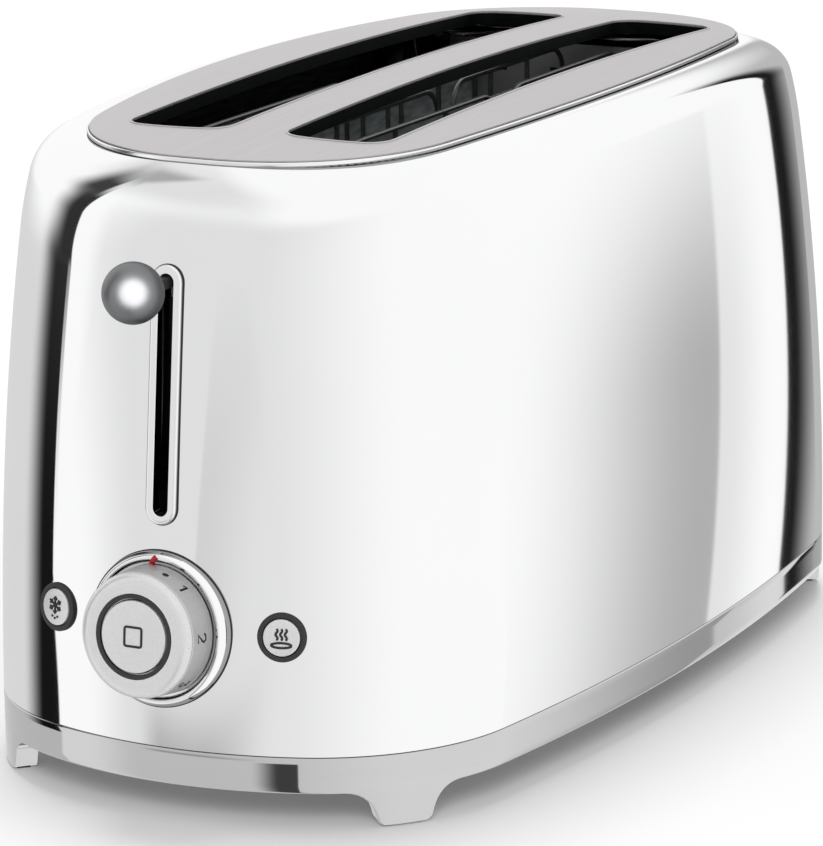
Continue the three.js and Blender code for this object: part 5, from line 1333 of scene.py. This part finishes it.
class TOASTER_OT_buttons(bpy.types.Operator):
    """Builds the two side buttons, their black rings and their symbols"""

    bl_idname = "toaster.buttons"
    bl_label = "Side buttons"
    stroke, stroke_sides, face = 0.0004, 8, 0.0014
    ring_depth, ring_rise, ring_sunk = 0.004, 0.001, 0.0006
    ring_rounds, cap_rounds = (0, 0.0003, 0.0006, 0, 0, 0), (0, 0, 0.0005, 0)
    arm, barb, barb_place, snow_rise = 0.0029, 0.001, 0.0016, 0.0007
    drops, drop_length = ((-0.0012, -0.0027), (0.0012, -0.0027), (0.0, -0.0033)), 0.0006
    wave_places, wave_width, wave_bottom, wave_height = (-0.0015, 0.0, 0.0015), 0.00035, -0.0007, 0.0036
    oval_width, oval_height, oval_place, wave_steps, oval_steps = 0.0033, 0.0008, -0.0024, 13, 25

    def snow(self):
        """Strokes of a thawing snow crystal: six arms, each with two short barbs, over three drops."""
        strokes = []
        for turn in np.arange(6) * np.pi / 3 + np.pi / 6:
            along = np.array([math.cos(turn), math.sin(turn)])
            strokes.append(np.array([0 * along, along * self.arm]))
            for side in SIDES:
                spread = turn + side * np.pi / 4
                tip = np.array([math.cos(spread), math.sin(spread)]) * self.barb
                strokes.append(np.array([along * self.barb_place, along * self.barb_place + tip]))
        strokes = [stroke + [0, self.snow_rise] for stroke in strokes]
        return strokes + [np.array([[x, top], [x, top - self.drop_length]]) for x, top in self.drops]

    def warmth(self):
        """Strokes of warm bread: three waves of one and a half turns each that rise from a flat oval."""
        rise = np.linspace(0, 1, self.wave_steps)
        wave = self.wave_width * np.sin(rise * 3 * np.pi)
        height = self.wave_bottom + self.wave_height * rise
        turn = np.linspace(0, 2 * np.pi, self.oval_steps)
        level = self.oval_place + self.oval_height * np.sin(turn)
        oval = np.column_stack([self.oval_width * np.cos(turn), level])
        return [np.column_stack([place + wave, height]) for place in self.wave_places] + [oval]

    def execute(self, context):
        toaster, looks = Toaster(context.scene), finishes(context.scene)
        front = toaster.front
        black, satin = looks["black_matte"], looks["satin_knob"]
        ring = soft_corners(
            [
                (front.button_bore, -self.ring_depth),
                (front.button_bore, self.ring_rise),
                (front.button_ring, self.ring_rise),
                (front.button_ring, -self.ring_sunk),
                (front.button_neck, -self.ring_sunk),
                (front.button_neck, -self.ring_depth),
            ],
            self.ring_rounds,
        )
        cap = soft_corners(
            [
                (0, -front.button_depth),
                (front.button, -front.button_depth),
                (front.button, self.face),
                (0, self.face),
            ],
            self.cap_rounds,
        )
        for name, station, strokes in zip(
            ("reheat", "defrost"), button_stations(toaster), (self.warmth(), self.snow())
        ):
            rings, caps = [turned(ring)], [turned(cap)]
            wall_piece(f"{name}_ring", station, rings, "housing", black, "black_plastic", [f"{name}_bezel"])
            wall_piece(f"{name}_cap", station, caps, name, satin, "satin_metal", [f"{name}_button"])
            paths = [raised(line, self.face) for line in strokes]
            lines = [tube(path, self.stroke, (0, 0, 1), self.stroke_sides) for path in paths]
            wall_piece(f"{name}_sign", station, lines, name, looks["print_ink"], "black_plastic")
        return {"FINISHED"}


class TOASTER_OT_guides(bpy.types.Operator):
    """Builds the four wire guides that centre the bread"""

    bl_idname = "toaster.guides"
    bl_label = "Bread guides"
    bend_steps = 9

    def hoop(self, sizes, y, start, stop):
        """One hoop of wire, open at the bottom and with quarter circles at the top, with upright wires in
        it at even distances."""
        top = sizes.top - sizes.wire / 2
        turn = np.linspace(0, np.pi / 2, self.bend_steps)
        bend = sizes.corner * np.column_stack([1 - np.cos(turn), np.sin(turn) - 1])
        left = bend + [start, top]
        right = left[::-1] * [-1, 1] + [start + stop, 0]
        path = np.concatenate([[[start, sizes.bottom]], left, right, [[stop, sizes.bottom]]])
        count = math.ceil((stop - start) / sizes.pitch)
        paths = [path]
        for place in np.linspace(start, stop, count + 1)[1:-1]:
            paths.append(np.array([[place, sizes.bottom], [place, top]]))
        return [self.wire_in_plane(path, y, sizes.wire / 2) for path in paths]

    def wire_in_plane(self, path, y, radius):
        """A wire along a path of x and z pairs in the plane of one y."""
        return tube(np.column_stack([path[:, 0], np.full(len(path), y), path[:, 1]]), radius, (0, 1, 0))

    def execute(self, context):
        sizes = context.scene.toaster_guides
        wire = finishes(context.scene)["guide_wire"]
        split = sizes.front + (sizes.rear - sizes.front) * sizes.split
        for hand, side in (("right", -1), ("left", 1)):
            for row, spacing in (("outer", sizes.outer), ("inner", sizes.inner)):
                y = side * spacing / 2
                surfaces = self.hoop(sizes, y, sizes.front, split - sizes.gap / 2)
                surfaces += self.hoop(sizes, y, split + sizes.gap / 2, sizes.rear)
                for height in (sizes.rail_top, sizes.rail_bottom):
                    ends = np.array([[sizes.front - sizes.reach, height], [sizes.rear + sizes.reach, height]])
                    surfaces.append(self.wire_in_plane(ends, y, sizes.wire / 2))
                body = f"{hand}_{row}"
                make_piece(f"{body}_wires", surfaces, body, wire, "wire_steel", [f"{body}_guide"])
        return {"FINISHED"}


class TOASTER_OT_inside(bpy.types.Operator):
    """Gives the CAD pieces that keep their shape their finishes"""

    bl_idname = "toaster.inside"
    bl_label = "Inside pieces"

    def execute(self, context):
        looks = finishes(context.scene)
        hands = ("right", "left")
        liners = ["centre_reflector"] + [f"{hand}_reflector" for hand in hands]
        liners += [f"{hand}_{row}_heater" for hand in hands for row in ("outer", "inner")]
        give_finish(liners, looks["dark_liner"])
        plates = ["base_plate", "front_chassis_plate", "rear_chassis_plate", "armature_plate"]
        give_finish(plates, looks["sheet_metal"])
        wires = ["return_spring"] + [f"{hand}_{piece}" for hand in hands for piece in ("rack", "lift_rod")]
        give_finish(wires + [f"base_screw_{i}" for i in CORNERS], looks["bright_wire"])
        switches = [f"{name}_switch" for name in ("dial", "stop", "reheat", "defrost")]
        give_finish([*switches, "cord_gland", "lift_carriage"], looks["black_matte"])
        give_finish([f"foot_pad_{i}" for i in CORNERS], looks["soft_rubber"])
        give_finish(["control_board"], looks["green_board"])
        give_finish(["holding_magnet"], looks["copper_winding"])
        return {"FINISHED"}


def put(tree, value, socket):
    """Links a socket to another one, or gives it a number."""
    if isinstance(value, bpy.types.NodeSocket):
        tree.links.new(value, socket)
    else:
        socket.default_value = value


def calculate(tree, operation, *values):
    """A Math node on numbers and sockets, as its output."""
    node = tree.nodes.new("ShaderNodeMath")
    node.operation = operation
    for value, socket in zip(values, node.inputs):
        put(tree, value, socket)
    return node.outputs["Value"]


def mix(tree, factor, first, second):
    """A Mix node on numbers and sockets, as its output."""
    node = tree.nodes.new("ShaderNodeMix")
    for name, value in (("Factor", factor), ("A", first), ("B", second)):
        put(tree, value, node.inputs[name])
    return node.outputs["Result"]


class TOASTER_OT_studio(bpy.types.Operator):
    """Sets up the pale floor, the soft light and the camera"""

    bl_idname = "toaster.studio"
    bl_label = "Studio"
    cards = (
        ("pale grey card behind the far end", (47.2, 47.5, 80, 84), (-17.2, -16.4, 12, 24), 0.5),
        ("black edge of that card", (47.2, 47.5, 48.6, 53.2), (-17.2, -16.4, 14, 24), 0.01),
        ("grey card beside it", (15.5, 36.5, 37.7, 38.5), (-91, -90, -11, -2), 0.45),
        ("lighter half of that card", (37.7, 38.5, 38.6, 45.5), (-91, -90, -11, -2), 0.8),
        ("grey wall on the left", (91, 101, 172, 173), (-91, -90, -8, 8), 0.7),
        ("soft grey ceiling on the left", (115, 150, 192, 240), (37, 48, 52, 72), 0.77),
        ("pale grey wall in front", (184, 204, 222, 315), (-91, -90, 30, 50), 0.77),
        ("darker fold in that wall", (219.2, 219.9, 220.5, 236), (-8.8, -7.6, -5, -1), 0.67),
        ("shade low on that wall", (203, 212, 224, 246), (-12.5, -11.5, -9.6, -8.2), 0.45),
        ("black card on the left", (144, 164.5, 172.8, 173.6), (-15.9, -15.1, -5, 14), 0.008),
        ("dark card over it", (149, 168, 175, 176), (-11, 0, 33, 47), 0.03),
        ("dark fold over that card", (141, 160, 170, 172.5), (26, 39, 43, 57), 0.05),
        ("thin end of that fold", (155, 177, 179.5, 184), (44, 51, 54, 58), 0.42),
        ("dark low card in front", (238, 247, 253.1, 253.4), (-91, -90, -14.5, -13.5), 0.07),
    )
    card_start, second_depth = -60, 2.5
    sensor, clip_near, clip_far = 36, 0.05, 50
    floor_reach, floor_look = 4.0, (0.0, 0.8, 0.02, (3, 3, 3), 0.995)
    suns = (("key", (0.4, 0.2, 1.75)), ("fill", (-1.4, -0.7, 1.1)))

    def within(self, tree, value, limits):
        """One between the inner limits and zero outside the outer ones, with smooth sides."""
        sides = []
        for start, stop in ((limits[0], limits[1]), (limits[3], limits[2])):
            side = tree.nodes.new("ShaderNodeMapRange")
            side.interpolation_type = "SMOOTHSTEP"
            for name, given in (("From Min", start), ("From Max", stop), ("Value", value)):
                put(tree, given, side.inputs[name])
            sides.append(side.outputs["Result"])
        return calculate(tree, "MULTIPLY", *sides)

    def surroundings(self, studio):
        """White all round, with cards that only reflections see. A card's limits are degrees round the
        studio, counted from card_start, then degrees over the horizon: where it starts, is full, is full
        still, and ends. Outside and inside are mixed by the product of the two smooth steps."""
        world = bpy.data.worlds.new("studio")
        world.use_nodes = True
        tree = world.node_tree
        nodes, links = tree.nodes, tree.links
        place = nodes.new("ShaderNodeTexCoord")
        turned_round = nodes.new("ShaderNodeMapping")
        turned_round.inputs["Rotation"].default_value = (0, 0, math.radians(-self.card_start - 180))
        split = nodes.new("ShaderNodeSeparateXYZ")
        links.new(place.outputs["Generated"], turned_round.inputs["Vector"])
        links.new(turned_round.outputs["Vector"], split.inputs["Vector"])
        turn = calculate(tree, "ARCTAN2", split.outputs["Y"], split.outputs["X"])
        around = calculate(tree, "ADD", calculate(tree, "DEGREES", turn), 180)
        over = calculate(tree, "DEGREES", calculate(tree, "ARCSINE", split.outputs["Z"]))
        level = 1
        for _, across, upright, shade in self.cards:
            inside = calculate(
                tree, "MULTIPLY", self.within(tree, around, across), self.within(tree, over, upright)
            )
            level = mix(tree, inside, level, shade)
        path = nodes.new("ShaderNodeLightPath")
        again = calculate(tree, "GREATER_THAN", path.outputs["Ray Depth"], self.second_depth)
        echo = calculate(tree, "MULTIPLY_ADD", again, studio.echo - 1, 1)
        level = calculate(tree, "MULTIPLY", level, echo)
        reflected = mix(tree, path.outputs["Is Glossy Ray"], studio.sky, level)
        background = nodes["Background"]
        links.new(mix(tree, path.outputs["Is Camera Ray"], reflected, 1), background.inputs["Strength"])
        background.inputs["Color"].default_value = (1, 1, 1, 1)
        bpy.context.scene.world = world

    def camera(self, studio):
        """The camera at the photograph's viewing angle."""
        side, rise = math.sin(studio.azimuth), math.sin(studio.elevation)
        front, level = math.cos(studio.azimuth), math.cos(studio.elevation)
        back = Vector((side * level, -front * level, rise))
        right = Vector((front, side, 0))
        up = back.cross(right)
        turn, lean = math.cos(studio.roll), math.sin(studio.roll)
        axes = (right * turn + up * lean, up * turn - right * lean, back)
        lens = bpy.data.cameras.new("camera")
        lens.lens = studio.focal
        lens.sensor_width = self.sensor
        lens.shift_x, lens.shift_y = studio.shift_x, studio.shift_y
        lens.clip_start, lens.clip_end = self.clip_near, self.clip_far
        camera = bpy.data.objects.new("camera", lens)
        camera.matrix_world = Matrix.Translation(studio.place) @ Matrix(axes).transposed().to_4x4()
        bpy.context.scene.collection.objects.link(camera)
        bpy.context.scene.camera = camera

    def lamp(self, kind, name, place, target, strength):
        """A lamp at a place that points at a target."""
        light = bpy.data.lights.new(name, kind)
        light.energy = strength
        lamp = bpy.data.objects.new(name, light)
        lamp.location = place
        lamp.rotation_mode = "QUATERNION"
        lamp.rotation_quaternion = (Vector(place) - Vector(target)).to_track_quat("Z", "Y")
        bpy.context.scene.collection.objects.link(lamp)
        return lamp

    def veil(self, tree, share):
        """Mixes a share of plain white light into the floor where the camera or a clear reflection sees
        it, so the background is white and the shadow is a soft grey."""
        nodes, links = tree.nodes, tree.links
        output = next(node for node in nodes if node.type == "OUTPUT_MATERIAL")
        rays = nodes.new("ShaderNodeLightPath").outputs
        seen = calculate(tree, "ADD", rays["Is Camera Ray"], rays["Is Glossy Ray"])
        seen = calculate(tree, "ADD", seen, rays["Is Transmission Ray"])
        blend, white = nodes.new("ShaderNodeMixShader"), nodes.new("ShaderNodeEmission")
        links.new(calculate(tree, "MULTIPLY", seen, share), blend.inputs["Fac"])
        links.new(output.inputs["Surface"].links[0].from_socket, blend.inputs[1])
        links.new(white.outputs["Emission"], blend.inputs[2])
        links.new(blend.outputs["Shader"], output.inputs["Surface"])

    def execute(self, context):
        scene = context.scene
        studio = scene.toaster_studio
        scene.view_settings.view_transform = "Standard"
        self.surroundings(studio)
        self.camera(studio)
        reach = self.floor_reach
        corners = [(-reach, -reach, 0), (reach, -reach, 0), (reach, reach, 0), (-reach, reach, 0)]
        mesh = bpy.data.meshes.new("floor")
        mesh.from_pydata(corners, [], [(0, 1, 2, 3)])
        pale = finish_of("pale_floor", scene.toaster_finish.floor, *self.floor_look)
        self.veil(pale.node_tree, studio.veil)
        mesh.materials.append(pale)
        floor = bpy.data.objects.new("floor", mesh)
        scene.collection.objects.link(floor)
        floor.visible_glossy = False
        for name, place in self.suns:
            lamp = self.lamp("SUN", name, place, (0, 0, 0), getattr(studio, name))
            lamp.data.angle = studio.spread
            lamp.visible_glossy = False
        ball = sum(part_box("lever_ball"), Vector()) / 2
        towards = (Vector(studio.place) - ball).normalized()
        glow = self.lamp("AREA", "ball_glow", ball + towards, ball, studio.glow)
        glow.data.shape, glow.data.size = "DISK", studio.glow_size
        only_ball = bpy.data.collections.new("lit_by_ball_glow")
        only_ball.objects.link(bpy.data.objects["lever_knob_ball"])
        glow.light_linking.receiver_collection = only_ball
        return {"FINISHED"}


OPERATORS = (
    TOASTER_OT_shell,
    TOASTER_OT_top,
    TOASTER_OT_band,
    TOASTER_OT_lever,
    TOASTER_OT_dial,
    TOASTER_OT_buttons,
    TOASTER_OT_guides,
    TOASTER_OT_inside,
    TOASTER_OT_studio,
)


class TOASTER_PT_panel(bpy.types.Panel):
    """Lists the toaster's pieces in the sidebar"""

    bl_idname = "TOASTER_PT_panel"
    bl_label = "Retro Toaster"
    bl_space_type = "VIEW_3D"
    bl_region_type = "UI"
    bl_category = "Toaster"

    def draw(self, context):
        for operator in OPERATORS:
            self.layout.operator(operator.bl_idname)


def register():
    """Registers the property groups, the operators and the panel."""
    for name, group in GROUPS.items():
        bpy.utils.register_class(group)
        setattr(bpy.types.Scene, name, bpy.props.PointerProperty(type=group))
    for operator in (*OPERATORS, TOASTER_PT_panel):
        bpy.utils.register_class(operator)


def unregister():
    """Takes back what register did."""
    for operator in (*OPERATORS, TOASTER_PT_panel):
        bpy.utils.unregister_class(operator)
    for name, group in GROUPS.items():
        delattr(bpy.types.Scene, name)
        bpy.utils.unregister_class(group)


def main():
    """Builds every piece and the stage."""
    register()
    bpy.ops.toaster.shell()
    bpy.ops.toaster.top()
    bpy.ops.toaster.band()
    bpy.ops.toaster.lever()
    bpy.ops.toaster.dial()
    bpy.ops.toaster.buttons()
    bpy.ops.toaster.guides()
    bpy.ops.toaster.inside()
    bpy.ops.toaster.studio()
    bpy.context.view_layer.update()


if __name__ == "__main__":
    main()
